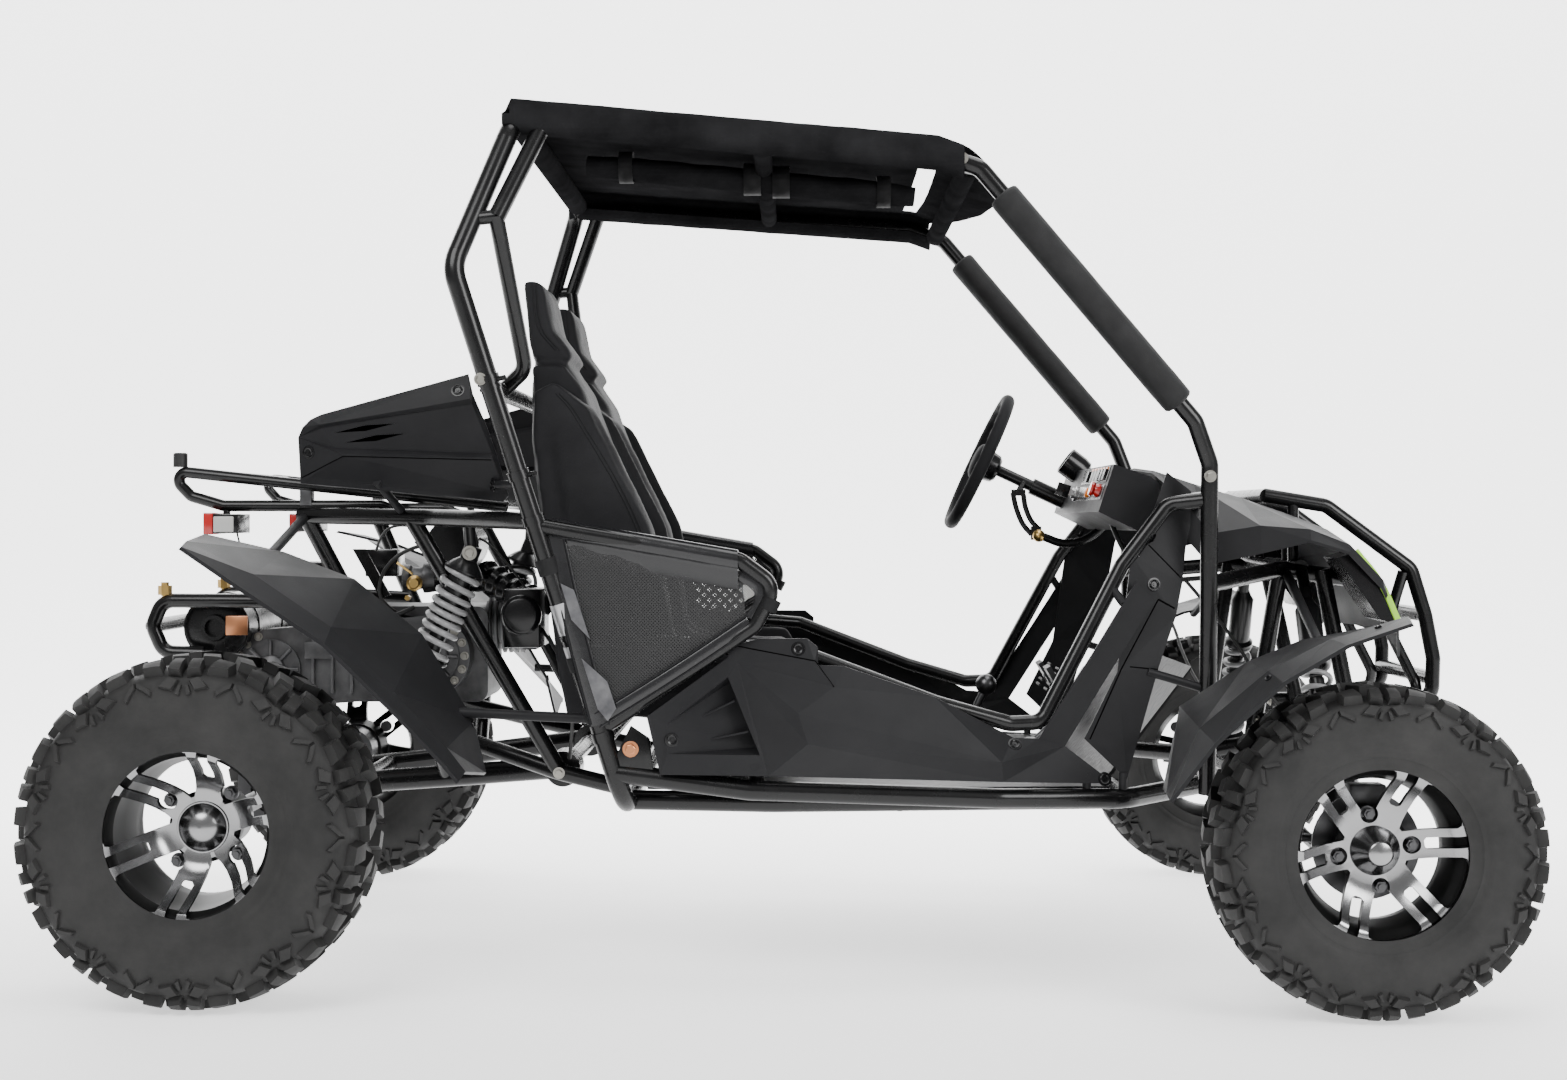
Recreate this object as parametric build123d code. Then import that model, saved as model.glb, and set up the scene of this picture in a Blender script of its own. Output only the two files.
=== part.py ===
from build123d import *

import functools
import math
import os

# A two-seat off-road buggy: a tube frame with a roll cage, a swing arm with a live rear axle,
# steered front wheels on double arms, moulded panels, bucket seats, a cloth roof and side nets.
# Millimetres. +X is forward, +Y is the buggy's left and +Z is up.
# The origin is on the floor, under the middle of the buggy.

# Wheels and stance
WHEELBASE = 1780.0
AXLES_MIDDLE = 10.0
REAR_TYRE_R = 270.0
REAR_TYRE_W = 250.0
REAR_TRACK = 1270.0
FRONT_TYRE_R = 250.0
FRONT_TYRE_W = 178.0
FRONT_TRACK = 1382.0
BEAD_R = 127.0
FLANGE_R = 138.0
RIM_WALL = 6.0
FLANGE_T = 4.0
REAR_RIM_W = 210.0
FRONT_RIM_W = 136.0
REAR_X = AXLES_MIDDLE - WHEELBASE / 2
FRONT_X = AXLES_MIDDLE + WHEELBASE / 2
REAR_Y = REAR_TRACK / 2
FRONT_Y = FRONT_TRACK / 2
LUG_H = 15.0
LUG_PAIRS = 18
SPOKES = 6
SPOKE_W = 43.0
SPOKE_T = 14.0
SPOKE_SLOT_W = 17.0
WINDOW_R = 52.0
SLOT_R = 72.0
REAR_DISH = 100.0
FRONT_DISH = 47.0
REAR_CAP = (40.0, 18.0, 22.0)
FRONT_CAP = (37.0, 16.0, 38.0)
REAR_BOLT_PCD = 133.0
FRONT_BOLT_PCD = 110.0
REAR_SPOKE_AT = 19.0
REAR_BOLT_AT = 51.8
FRONT_SPOKE_AT = 9.0
FRONT_BOLT_AT = 9.0
LUG_BOLT_R = 9.0
LUG_BOLT_H = 8.0
LUG_BOLTS = 4

# Clearances
GAP = 0.3
RUN_FIT = 0.05

# Frame tubes
TUBE_R = 16.0
BRACE_R = 14.0
THIN_R = 12.5
RACK_R = 9.5
SLAT_R = 8.0
BEND = 60.0
SMALL_BEND = 28.0

# Roll hoop and cage stations, left side
HOOP_FOOT = (-236.0, 535.0, 292.0)
HOOP_SHOULDER = (-498.0, 620.0, 1136.0)
HOOP_TOP = (-412.0, 520.0, 1384.0)
RAIL_REAR = (-368.0, 512.0, 1376.0)
RAIL_FRONT = (262.0, 478.0, 1332.0)
PILLAR_TOP = (330.0, 475.0, 1308.0)
PILLAR_KNEE = (674.0, 470.0, 902.0)
POST_TOP = (699.0, 462.0, 834.0)
POST_FOOT = (700.0, 432.0, 300.0)
DASH_BAR = (699.0, 458.0, 776.0)
BRACKET_Z = 1214.0
BRACKET_REACH = 37.0
HEAD_BAR_Z = 950.0
WAIST_Z = 742.0
SEAT_BAR_Z = 398.0

# Lower frame
RAIL_Z = 294.0
RAIL_REAR_Y = 505.0
RAIL_KNEE = (560.0, 462.0, 296.0)
RAIL_NOSE = (FRONT_X + 140.0, 170.0, 348.0)
SILL_REAR_Z = 345.0
PIVOT = (-361.0, 330.0, 322.0)

# Front suspension and steering
KING_INSET = 91.0
KING_Y = FRONT_Y - KING_INSET
KING_HALF = 78.0
KING_R = 9.0
EYE_R = 17.0
EYE_H = 22.0
ARM_R = 10.0
ARM_SPREAD = 58.0
LOWER_ARM_Y = 215.0
UPPER_ARM_Y = 235.0
SPINDLE_R = 11.0
SPINDLE_END = 6.0
FRONT_HUB_L = 62.0
STEER_ARM_L = 95.0
STEER_ARM_Z = FRONT_TYRE_R + 2.0
STEER_ARM_INSET = 12.0
STEER_EYE_R = 13.0
STEER_EYE_H = 16.0
TIE_R = 7.0
TIE_GAP = 5.0
RACK_BAR_R = 9.0
RACK_TUBE_R = 19.0
RACK_HALF = 165.0
WHEEL_TILT = 25.0
STEER_CENTRE = (385.0, 245.0, 856.0)
STEER_R = 128.0
STEER_GRIP_R = 12.5
COLUMN_R = 11.0
COLUMN_L = 250.0

# Rear axle
AXLE_R = 15.0
CARRIER_Y = 120.0
CARRIER_R = 44.0
CARRIER_W = 70.0
SWING_R = 19.0
SWING_PIVOT_Y = 250.0
SWING_EYE_R = 30.0
SHOCK_TOP = (-500.0, 400.0, 690.0)
SHOCK_FOOT = (-584.0, 400.0, 484.0)
SPROCKET_R = 88.0
SPROCKET_Y = 52.0
DISC_R = 92.0
DISC_T = 4.0
HUB_R = 46.0
GUARD_X = -1084.0
GUARD_Y = 202.0
GUARD_Z = 560.0

# Panels
PANEL_T = 4.0
SEAT_W = 430.0
SEAT_Y = 245.0
BOLSTER_W = 70.0
HEAD_REST_W = 250.0
ROOF_T = 4.0
PAD_R = 26.0
NET_T = 6.0

# Springs and the engine
REAR_SPRING_R = 32.0
FRONT_SPRING_R = 27.0
SPRING_WIRE = 10.0
SPRING_TURNS = 9
CYLINDER_R = 38.0
FIN_R = 56.0
FIN_T = 4.0
FIN_PITCH = 11.0
FINS = 6
CASE_R = 70.0
CASE_W = 62.0

RIM_EDGE = 1.5


def flip(point):
    """The same point on the right side."""
    x, y, z = point
    return (x, -y, z)


def between(a, b, share):
    """The point that far along from a to b."""
    return tuple(p + share * (q - p) for p, q in zip(a, b))


def leg_at(z):
    """The middle of the left hoop leg at a height."""
    if z < HOOP_SHOULDER[2]:
        return between(HOOP_FOOT, HOOP_SHOULDER, (z - HOOP_FOOT[2]) / (HOOP_SHOULDER[2] - HOOP_FOOT[2]))
    return between(HOOP_SHOULDER, HOOP_TOP, (z - HOOP_SHOULDER[2]) / (HOOP_TOP[2] - HOOP_SHOULDER[2]))


def bar(points, radius, bend=BEND):
    """A round bar through the points, with its corners rounded."""
    path = Line(*points) if len(points) == 2 else FilletPolyline(*points, radius=bend)
    start = Plane(origin=path @ 0, z_dir=path % 0)
    return sweep(start * Circle(radius), path=path)


def disc(centre, axis, radius, width):
    """A cylinder centred on a point."""
    return Plane(origin=centre, z_dir=axis) * Cylinder(radius, width)


def mirrored(shape):
    return mirror(shape, about=Plane.XZ)


def fuse(pieces):
    """All the pieces as one shape."""
    first, *rest = pieces
    return first.fuse(*rest) if rest else first


def frame_of(bars, grow=0.0):
    """A welded frame from its bars, each given as points, radius and bend."""
    return fuse([bar(points, radius + grow, bend) for points, radius, bend in bars])


def pair(bars):
    """The bars and their mirror images."""
    return bars + [([flip(p) for p in points], radius, bend) for points, radius, bend in bars]


def biggest(shape):
    """The largest solid of a shape."""
    return max(shape.solids(), key=lambda solid: solid.volume)


def both(shape):
    """A left piece and its mirror image as one node of two solids."""
    left = max((solid for solid in shape.solids() if solid.center().Y > 0), key=lambda solid: solid.volume)
    return Compound(children=[left, mirrored(left)])


def panel(points, faces, offset):
    """A moulded panel: flat facets over the points, thickened by one offset."""
    near = [Vector(*p) for p in points]
    push = Vector(*offset)
    facing = sum(((near[b] - near[a]).cross(near[c] - near[a])).dot(push) for a, b, c in faces)
    if facing > 0:
        faces = [ring[::-1] for ring in faces]
    far = [p + push for p in near]
    sides = []
    edges = set()
    for ring in faces:
        sides.append(Face(Wire.make_polygon([near[i] for i in ring])))
        sides.append(Face(Wire.make_polygon([far[i] for i in reversed(ring)])))
        edges.update(zip(ring, ring[1:] + ring[:1]))
    for a, b in edges:
        if (b, a) not in edges:
            sides.append(Face(Wire.make_polygon([near[b], near[a], far[a], far[b]])))
    return Solid(Shell(sides))


def grid_faces(rows, columns, middle=None):
    """Triangles over a grid of points, row by row, mirrored from the middle column on."""
    faces = []
    for r in range(rows - 1):
        for c in range(columns - 1):
            a = r * columns + c
            b, below, across = a + 1, a + columns, a + columns + 1
            if middle is not None and c >= middle:
                faces += [[a, b, across], [a, across, below]]
            else:
                faces += [[a, b, below], [b, across, below]]
    return faces


def plate(points, y, thickness):
    """A flat plate from an outline in X and Z, from y inwards towards smaller Y."""
    outline = make_face(Polyline(*[(x, z) for x, z in points], close=True))
    return extrude(Plane(origin=(0, y, 0), x_dir=(1, 0, 0), z_dir=(0, -1, 0)) * outline, amount=thickness)


# Frame bars
HOOP_BARS = pair([
    ([(HOOP_FOOT[0], 0, HOOP_FOOT[2]), HOOP_FOOT, HOOP_SHOULDER, HOOP_TOP, (HOOP_TOP[0], 0, HOOP_TOP[2])],
     TUBE_R, BEND),
]) + [
    ([leg_at(HEAD_BAR_Z), flip(leg_at(HEAD_BAR_Z))], BRACE_R, BEND),
    ([leg_at(SEAT_BAR_Z), flip(leg_at(SEAT_BAR_Z))], BRACE_R, BEND),
]

LOWER_BARS = pair([
    ([(HOOP_FOOT[0], RAIL_REAR_Y - 30, RAIL_Z), (0, RAIL_REAR_Y, RAIL_Z), RAIL_KNEE,
      (FRONT_X - 120, 205, 300), RAIL_NOSE], TUBE_R, BEND),
    ([leg_at(SILL_REAR_Z), (-38, 547, 318), (357, 510, 302), (546, 463, 297)], TUBE_R, BEND),
    ([(-30, 502, RAIL_Z), (-30, 502, SEAT_BAR_Z), (-30, 0, SEAT_BAR_Z)], BRACE_R, SMALL_BEND),
    ([(FRONT_X - 90, LOWER_ARM_Y - 20, 303), (FRONT_X - 80, UPPER_ARM_Y - 20, 400),
      (FRONT_X - 40, 232, 660)], BRACE_R, BEND),
    ([(FRONT_X + 90, 200, 340), (FRONT_X + 85, UPPER_ARM_Y - 20, 400), (FRONT_X + 30, 232, 660)],
     BRACE_R, BEND),
    ([(699, 446, 640), (FRONT_X - 40, 232, 660), (FRONT_X + 110, 205, 640)], BRACE_R, SMALL_BEND),
]) + [
    ([(x, -y, z), (x, y, z)], radius, BEND)
    for x, y, z, radius in [
        (200, 490, RAIL_Z, TUBE_R),
        (560, 460, 296, TUBE_R),
        (FRONT_X - 100, 198, 301, BRACE_R),
        (FRONT_X + 110, 190, 342, BRACE_R),
        (FRONT_X - 5, 232, 662, BRACE_R),
    ]
]

BRACKET = leg_at(BRACKET_Z)
BRACKET_END = (BRACKET[0] + BRACKET_REACH, BRACKET[1])
ROOF_BARS = pair([
    ([(*BRACKET_END, BRACKET_Z), RAIL_REAR, RAIL_FRONT, PILLAR_TOP, PILLAR_KNEE, POST_TOP, POST_FOOT],
     BRACE_R, SMALL_BEND),
    ([BRACKET, (*BRACKET_END, BRACKET_Z + 4)], BRACE_R - 3, BEND),
    ([(*BRACKET_END, BRACKET_Z + 6), (-398, 505, 985), (-441, 470, HEAD_BAR_Z)], THIN_R, BEND / 2),
]) + [
    ([flip(between(RAIL_FRONT, PILLAR_TOP, 0.75)), between(RAIL_FRONT, PILLAR_TOP, 0.75)], BRACE_R, BEND),
    ([flip(between(RAIL_REAR, RAIL_FRONT, 0.55)), between(RAIL_REAR, RAIL_FRONT, 0.55)], THIN_R, BEND),
    ([flip(DASH_BAR), DASH_BAR], BRACE_R, BEND),
]

REAR_BARS = pair([
    ([leg_at(WAIST_Z), (-560, 412, 748), (-800, 318, 752)], BRACE_R, BEND),
    ([(-600, 396, 749), PIVOT], BRACE_R, BEND),
    ([(HOOP_FOOT[0], PIVOT[1], HOOP_FOOT[2]), PIVOT, (-620, 232, 396), (-790, 322, 752)], BRACE_R, BEND),
    ([(-714, 281, 592), (-870, 215, 604), (GUARD_X + 18, GUARD_Y, 604), (GUARD_X, GUARD_Y, GUARD_Z),
      (GUARD_X + 20, GUARD_Y, 514), (GUARD_X + 90, GUARD_Y, 512)], THIN_R, SMALL_BEND),
]) + [
    ([(GUARD_X, -GUARD_Y, GUARD_Z), (GUARD_X, GUARD_Y, GUARD_Z)], THIN_R, BEND),
    ([(-610, -392, 749), (-610, 392, 749)], BRACE_R, BEND),
    ([(-790, -322, 752), (-790, 322, 752)], BRACE_R, BEND),
    ([(PIVOT[0], -PIVOT[1], PIVOT[2]), PIVOT], BRACE_R, BEND),
    ([(-620, -232, 396), (-620, 232, 396)], BRACE_R, BEND),
]


@functools.cache
def section(name, grow=0.0):
    """One welded section of the frame by its name."""
    sections = {
        "hoop": HOOP_BARS, "lower": LOWER_BARS, "roof": ROOF_BARS, "rear": REAR_BARS, "entry": ENTRY_BARS,
        "elbow": SIDE_BARS, "bumper": BUMPER_BARS, "rack": RACK_BARS,
    }
    return frame_of(sections[name], grow)


def room_for(*names):
    """The space that frame sections take, with the clearance round them."""
    return [section(name, GAP) for name in names]


def trimmed(name, *others):
    """A frame section, cut where it butts against the sections it is bolted to."""
    return biggest(section(name).cut(*room_for(*others)))


def carried(piece, bosses, *names):
    """A panel with round bosses that reach back to the frame bars it is screwed to."""
    whole = fuse([piece] + [bar([a, b], radius) for a, b, radius in bosses])
    return biggest(whole.cut(*room_for(*names)))


@functools.cache
def floor_pan():
    """The tread plate under the feet, with its sloping toe board, on top of the lower frame."""
    low = RAIL_Z + TUBE_R + GAP
    outline = [(-205, -470), (-205, 470), (0, 482), (540, 446), (540, -446), (0, -482)]
    flat = extrude(Plane.XY.offset(low) * make_face(Polyline(*outline, close=True)), amount=PANEL_T)
    toe = [(540, low + 2.3), (680, low + 190), (680, low + 194.5), (536, low + 7), (536, low + 2.3)]
    board = extrude(Plane.XZ.offset(-400) * make_face(Polyline(*toe, close=True)), amount=800)
    return biggest(flat.fuse(board).cut(section("lower", GAP)))


@functools.cache
def skirt():
    """The faceted moulded panel along the sill, left side, with a finned scoop at its back."""
    points = [
        (-178, 572, 345), (-199, 576, 436), (-73, 568, 528), (-65, 566, 547), (-24, 564, 558),
        (52, 558, 558), (69, 556, 544), (69, 556, 516), (110, 550, 514), (254, 528, 464),
        (379, 502, 398), (421, 494, 395), (464, 488, 383), (544, 478, 322), (362, 530, 330),
        (-8, 570, 343), (509, 480, 531), (580, 468, 645), (610, 468, 615), (527, 478, 484),
        (38, 593, 443), (53, 600, 396), (359, 540, 362), (-58, 572, 521), (64, 562, 522),
        (94, 560, 482), (-168, 575, 424), (-166, 575, 378), (-72, 573, 498), (-22, 573, 376),
        (-70, 546, 488), (-26, 546, 386),
    ]
    crest, low, tip, peak, notch, step = 20, 21, 22, 23, 24, 25
    scoop_top, scoop_low, mouth_top, mouth_low, deep_top, deep_low = 26, 27, 28, 29, 30, 31
    faces = [
        [0, 1, scoop_top], [0, scoop_top, scoop_low], [1, 2, scoop_top], [2, mouth_top, scoop_top],
        [2, peak, mouth_top], [peak, mouth_low, mouth_top], [peak, 15, mouth_low], [0, scoop_low, mouth_low],
        [0, mouth_low, 15],
        [scoop_top, deep_top, deep_low], [scoop_top, deep_low, scoop_low], [scoop_top, mouth_top, deep_top],
        [scoop_low, deep_low, mouth_low], [mouth_top, mouth_low, deep_low], [mouth_top, deep_low, deep_top],
        [peak, low, 15], [peak, crest, low], [crest, tip, low], [peak, notch, step], [peak, step, crest],
        [step, tip, crest],
        [2, 3, peak], [3, 4, peak], [4, notch, peak], [4, 5, notch], [5, 6, notch], [6, 7, notch],
        [7, step, notch], [7, 8, step], [8, 9, step], [9, tip, step], [9, 10, tip], [10, 11, tip],
        [11, 12, tip],
        [tip, 12, 14], [12, 13, 14], [low, tip, 14], [low, 14, 15],
        [11, 16, 19], [11, 19, 12], [16, 17, 18], [16, 18, 19],
    ]
    moulding = panel(points, faces, (0, -PANEL_T, 0))
    fins = [
        panel([(-127, 559, 430), (-62, 541, 462), (-62, 570, 462)], [[0, 1, 2]], (0, 0, -3)),
        panel([(-113, 559, 398), (-40, 541, 414), (-40, 570, 414)], [[0, 1, 2]], (0, 0, -3)),
    ]
    bosses = [
        ((-30, 572, 360), (-30, 502, 360), 7),
        ((500, 482, 340), (500, 470, 300), 7),
        ((300, 530, 352), (300, 508, 302), 7),
        ((560, 466, 610), (540, 452, 640), 7),
    ]
    return carried(fuse([moulding] + fins), bosses, "lower", "entry")


ENTRY_BARS = pair([
    ([leg_at(560), (41, 512, 534), (257, 498, 452), (376, 482, 418), (428, 476, 420), (560, 446, 670),
      (636, 440, 770), (690, 456, 776)], THIN_R, SMALL_BEND),
])


def entry_bars():
    """The thin tube over each sill panel, from the hoop leg to the dash bar."""
    raw = section("entry").cut(section("hoop", GAP), section("roof", GAP))
    return both(raw)


def cowl_side():
    """The moulded panel beside the driver's feet, left side, sunk between its edge bands."""
    points = [
        (565, 470, 328), (497, 470, 393), (550, 466, 500), (575, 452, 687), (594, 440, 720),
        (617, 424, 765), (639, 410, 822), (679, 404, 791), (677, 408, 736), (668, 416, 698),
        (660, 432, 642), (648, 442, 588), (619, 456, 510),
    ]
    faces = [
        [0, 1, 2], [0, 2, 12], [2, 11, 12], [2, 3, 11], [3, 10, 11], [3, 4, 10], [4, 9, 10], [4, 5, 9],
        [5, 8, 9], [5, 7, 8], [5, 6, 7],
    ]
    moulding = panel(points, faces, (0, -PANEL_T, 0))
    bosses = [((600, 456, 500), (700, 440, 470), 7), ((560, 466, 340), (560, 455, 300), 7)]
    whole = carried(moulding, bosses, "lower", "roof", "entry")
    return biggest(whole.cut(skirt()))


# Rows of the nose: X, height in the middle and a third out, and the edge's Y, height and lip
HOOD_ROWS = [
    (645, 838, 828, 392, 805, 52),
    (712, 818, 806, 398, 722, 47),
    (FRONT_X - 108, 797, 782, 404, 735, 43),
    (FRONT_X - 27, 768, 754, 404, 729, 18),
    (FRONT_X + 39, 742, 728, 396, 704, 12),
    (FRONT_X + 99, 690, 676, 372, 646, 12),
    (FRONT_X + 130, 640, 626, 345, 592, 12),
    (FRONT_X + 144, 560, 552, 300, 530, 12),
]


@functools.cache
def hood():
    """The moulded nose over the front frame: a grid of facets with a lip, mirrored across the middle."""
    rows = []
    for x, middle_z, mid_z, side_y, side_z, lip in HOOD_ROWS:
        half = [(x, side_y + 5, side_z - lip), (x, side_y, side_z), (x, 235.0, mid_z), (x, 0.0, middle_z)]
        rows += half + [flip(p) for p in reversed(half[:3])]
    moulding = panel(rows, grid_faces(len(HOOD_ROWS), 7, 3), (-PANEL_T, 0, -PANEL_T))
    seat_x = FRONT_X - 5
    bosses = [((seat_x, side * 120, 748), (seat_x, side * 120, 662), 9) for side in (-1, 1)]
    bosses += [((696, side * 230, 806), (DASH_BAR[0], side * 230, DASH_BAR[2]), 9) for side in (-1, 1)]
    return carried(moulding, bosses, "lower", "roof", "bumper")


@functools.cache
def dashboard():
    """The instrument panel between the cowl sides, under the dash bar."""
    outline = [(564, 837), (625, 816), (638, 806), (638, 770), (603, 726), (538, 758)]
    body = extrude(Plane.XZ.offset(-330) * make_face(Polyline(*outline, close=True)), amount=660)
    lugs = [bar([(620, side * 200, 782), (DASH_BAR[0], side * 200, DASH_BAR[2])], 9) for side in (-1, 1)]
    return biggest(fuse([body] + lugs).cut(section("roof", GAP), column_space()))


def headlamp():
    """A slanted lamp under the left front edge of the nose."""
    outline = [(26, 682), (52, 690), (92, 640), (124, 572), (96, 580)]
    pod = plate([(FRONT_X + x, z) for x, z in outline], 366, 104)
    foot = bar([(FRONT_X + 75, 320, 640), (FRONT_X + 105, 205, 640)], 9)
    return pod.fuse(foot)


def headlamps():
    lamp = biggest(headlamp().cut(section("lower", GAP), hood()))
    return both(lamp)


def rear_panel():
    """The moulded cover behind each seat, left side: a sunk face over a ridge, with two slots."""
    points = [
        (-764, 480, 803), (-768, 480, 877), (-761, 480, 893), (-748, 480, 906), (-731, 480, 914),
        (-493, 480, 979), (-486, 480, 947), (-463, 480, 894), (-446, 480, 846), (-428, 480, 783),
        (-437, 474, 774), (-728, 500, 897), (-487, 500, 938), (-726, 493, 892), (-485, 493, 930),
        (-706, 493, 860), (-453, 493, 851), (-690, 507, 848), (-450, 507, 843), (-748, 484, 813),
        (-432, 484, 786),
    ]
    faces = [
        [1, 2, 11], [2, 3, 11], [3, 4, 11], [4, 5, 11], [5, 12, 11], [5, 6, 12], [11, 12, 14], [11, 14, 13],
        [13, 14, 16], [13, 16, 15], [15, 16, 18], [15, 18, 17], [17, 18, 20], [17, 20, 19], [1, 11, 13],
        [1, 13, 15], [1, 15, 17], [1, 17, 19], [1, 19, 0], [0, 19, 10], [19, 20, 10], [20, 9, 10],
        [6, 14, 12], [6, 7, 14], [7, 16, 14], [7, 8, 16], [8, 18, 16], [8, 20, 18], [8, 9, 20],
    ]
    moulding = panel(points, faces, (0, -PANEL_T, 0))
    for x, z in ((-706, 884), (-689, 868)):
        slot = [(x, z), (x + 48, z + 12), (x + 97, z + 15), (x + 50, z + 3)]
        moulding = moulding.cut(plate(slot, 520, 60))
    bosses = [((-640, 486, 806), (-610, 380, 749), 7), ((-450, 484, 800), leg_at(800), 7)]
    return carried(moulding, bosses, "rear", "hoop")


def rear_fender():
    """The moulded guard over the front of the rear tyre, left side: inner edge, crease and outer lip."""
    stations = [
        ((-28, 722), (-8, 712), (-5, 704)),
        ((100, 693), (94, 662), (80, 646)),
        ((212, 650), (212, 582), (210, 560)),
        ((320, 562), (307, 484), (314, 460)),
        ((402, 425), (388, 400), (388, 382)),
        ((422, 342), (416, 364), (412, 354)),
    ]
    widths = (REAR_Y - 113, REAR_Y + 70, REAR_Y + 110)
    points = [(REAR_X + x, y, z) for station in stations for (x, z), y in zip(station, widths)]
    moulding = panel(points, grid_faces(len(stations), 3), (-PANEL_T, 0, -PANEL_T))
    bosses = [
        ((REAR_X + 375, widths[0] + 18, 440), leg_at(430), 8),
        ((REAR_X + 80, widths[0] + 8, 690), (-790, 318, 752), 8),
    ]
    return carried(moulding, bosses, "rear", "hoop")


def front_fender():
    """The moulded guard behind the front tyre, left side: inner edge, crease and outer edge."""
    stations = [
        ((-290, 322), (-310, 334), (-314, 330)),
        ((-264, 452), (-260, 432), (-248, 415)),
        ((-158, 522), (-158, 518), (-148, 505)),
        ((-74, 556), (-64, 566), (-54, 560)),
        ((68, 584), (50, 600), (40, 592)),
    ]
    widths = (FRONT_Y - 143, FRONT_Y + 14, FRONT_Y + 74)
    points = [(FRONT_X + x, y, z) for station in stations for (x, z), y in zip(station, widths)]
    moulding = panel(points, grid_faces(len(stations), 3), (PANEL_T, 0, -PANEL_T))
    bosses = [
        ((FRONT_X - 272, widths[0] + 8, 420), (700, 438, 420), 8),
        ((FRONT_X - 50, widths[0] + 14, 552), (FRONT_X - 30, 232, 655), 8),
    ]
    return carried(moulding, bosses, "lower", "roof")


def seat(side):
    """A bucket seat: a hollowed middle between two bolsters, with a narrower head rest."""
    low = SEAT_BAR_Z + BRACE_R + GAP
    middle = [(-352, low), (52, low), (60, 470), (20, 500), (-60, 492), (-200, 462), (-236, 735),
              (-318, 969), (-362, 1020), (-410, 1020), (-404, 900), (-376, 640)]
    bolster = [(-346, low + 5), (44, low + 5), (52, 478), (18, 532), (-100, 538), (-160, 560), (-204, 735),
               (-306, 935), (-388, 962), (-398, 880), (-372, 636)]
    head = [(-352, 985), (-382, 1062), (-393, 1150), (-424, 1154), (-416, 1040), (-400, 985)]

    def slab(outline, start, stop):
        face = make_face(Polyline(*outline, close=True))
        plane = Plane(origin=(0, side * SEAT_Y + stop, 0), x_dir=(1, 0, 0), z_dir=(0, -1, 0))
        return extrude(plane * face, amount=stop - start)

    half = SEAT_W / 2
    inner = half - BOLSTER_W
    pieces = [
        slab(middle, -inner - 8, inner + 8), slab(bolster, inner, half), slab(bolster, -half, -inner),
        slab(head, -HEAD_REST_W / 2, HEAD_REST_W / 2),
    ]
    return biggest(fuse(pieces).cut(*room_for("hoop", "lower")))


def roof_canopy():
    """The cloth roof, stretched over the padded rails."""
    top = PAD_R + GAP
    front = between(RAIL_FRONT, PILLAR_TOP, 0.6)
    outline = [
        (HOOP_TOP[0] - 34, 520.0, HOOP_TOP[2] - 4 + top), (HOOP_TOP[0] + 20, 534.0, HOOP_TOP[2] + top),
        (RAIL_FRONT[0], RAIL_FRONT[1] + 18, RAIL_FRONT[2] + top),
        (front[0], front[1] + 14, front[2] + top),
    ]
    points = []
    for corner in outline:
        points += [corner, flip(corner)]
    return panel(points, grid_faces(len(outline), 2), (0, 0, ROOF_T))


def sleeve(points, bend=SMALL_BEND):
    """A soft sleeve round a bar."""
    return bar(points, PAD_R, bend).cut(bar(points, BRACE_R + GAP, bend))


def roof_pads():
    """The rolled cloth sleeves along the roof rails."""
    pad = sleeve([between(RAIL_REAR, RAIL_FRONT, 0.08), between(RAIL_REAR, RAIL_FRONT, 0.94)])
    return both(pad.cut(section("roof", GAP)))


def pillar_pads():
    """The foam sleeves on the windscreen pillars."""
    return both(sleeve([between(PILLAR_TOP, PILLAR_KNEE, 0.1), between(PILLAR_TOP, PILLAR_KNEE, 0.93)]))


SIDE_BARS = pair([
    ([leg_at(736), (-53, 578, 681), (2, 574, 640), (-30, 572, 579), leg_at(414)], THIN_R, SMALL_BEND),
])


def side_bars():
    """The elbow guard tube on each hoop leg."""
    return both(section("elbow").cut(section("hoop", GAP), section("entry", GAP), skirt()))


def side_nets():
    """The net between each hoop leg, elbow guard and sill, as a thin sheet."""
    sheet = plate([(-345, 732), (-60, 680), (-28, 640), (-40, 585), (-270, 425), (-320, 560)], 580, NET_T)
    return both(sheet.cut(*room_for("hoop", "elbow", "entry"), skirt()))


RACK_FRONT = (-448.0, 340.0, 766.0)
RACK_BACK = (-1026.0, 322.0, 828.0)
RACK_SLATS = 5
RACK_BARS = pair([
    ([RACK_FRONT, RACK_BACK, (-985, 318, 784), (-930, 316, 768), (-660, 330, 768), (-610, 331, 747)],
     RACK_R, 14),
]) + [
    ([flip(between(RACK_FRONT, RACK_BACK, share)), between(RACK_FRONT, RACK_BACK, share)], SLAT_R, BEND)
    for share in [0.1 + 0.2 * step for step in range(RACK_SLATS)]
]


def tail_lamps():
    """The lamps hung under the back of the rack."""
    body = Pos(-925, 318, 738) * Box(60, 90, 34)
    stalk = bar([(-925, 318, 745), (-925, 316, 769)], 6)
    return both(body.fuse(stalk).cut(section("rack", GAP)))


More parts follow.
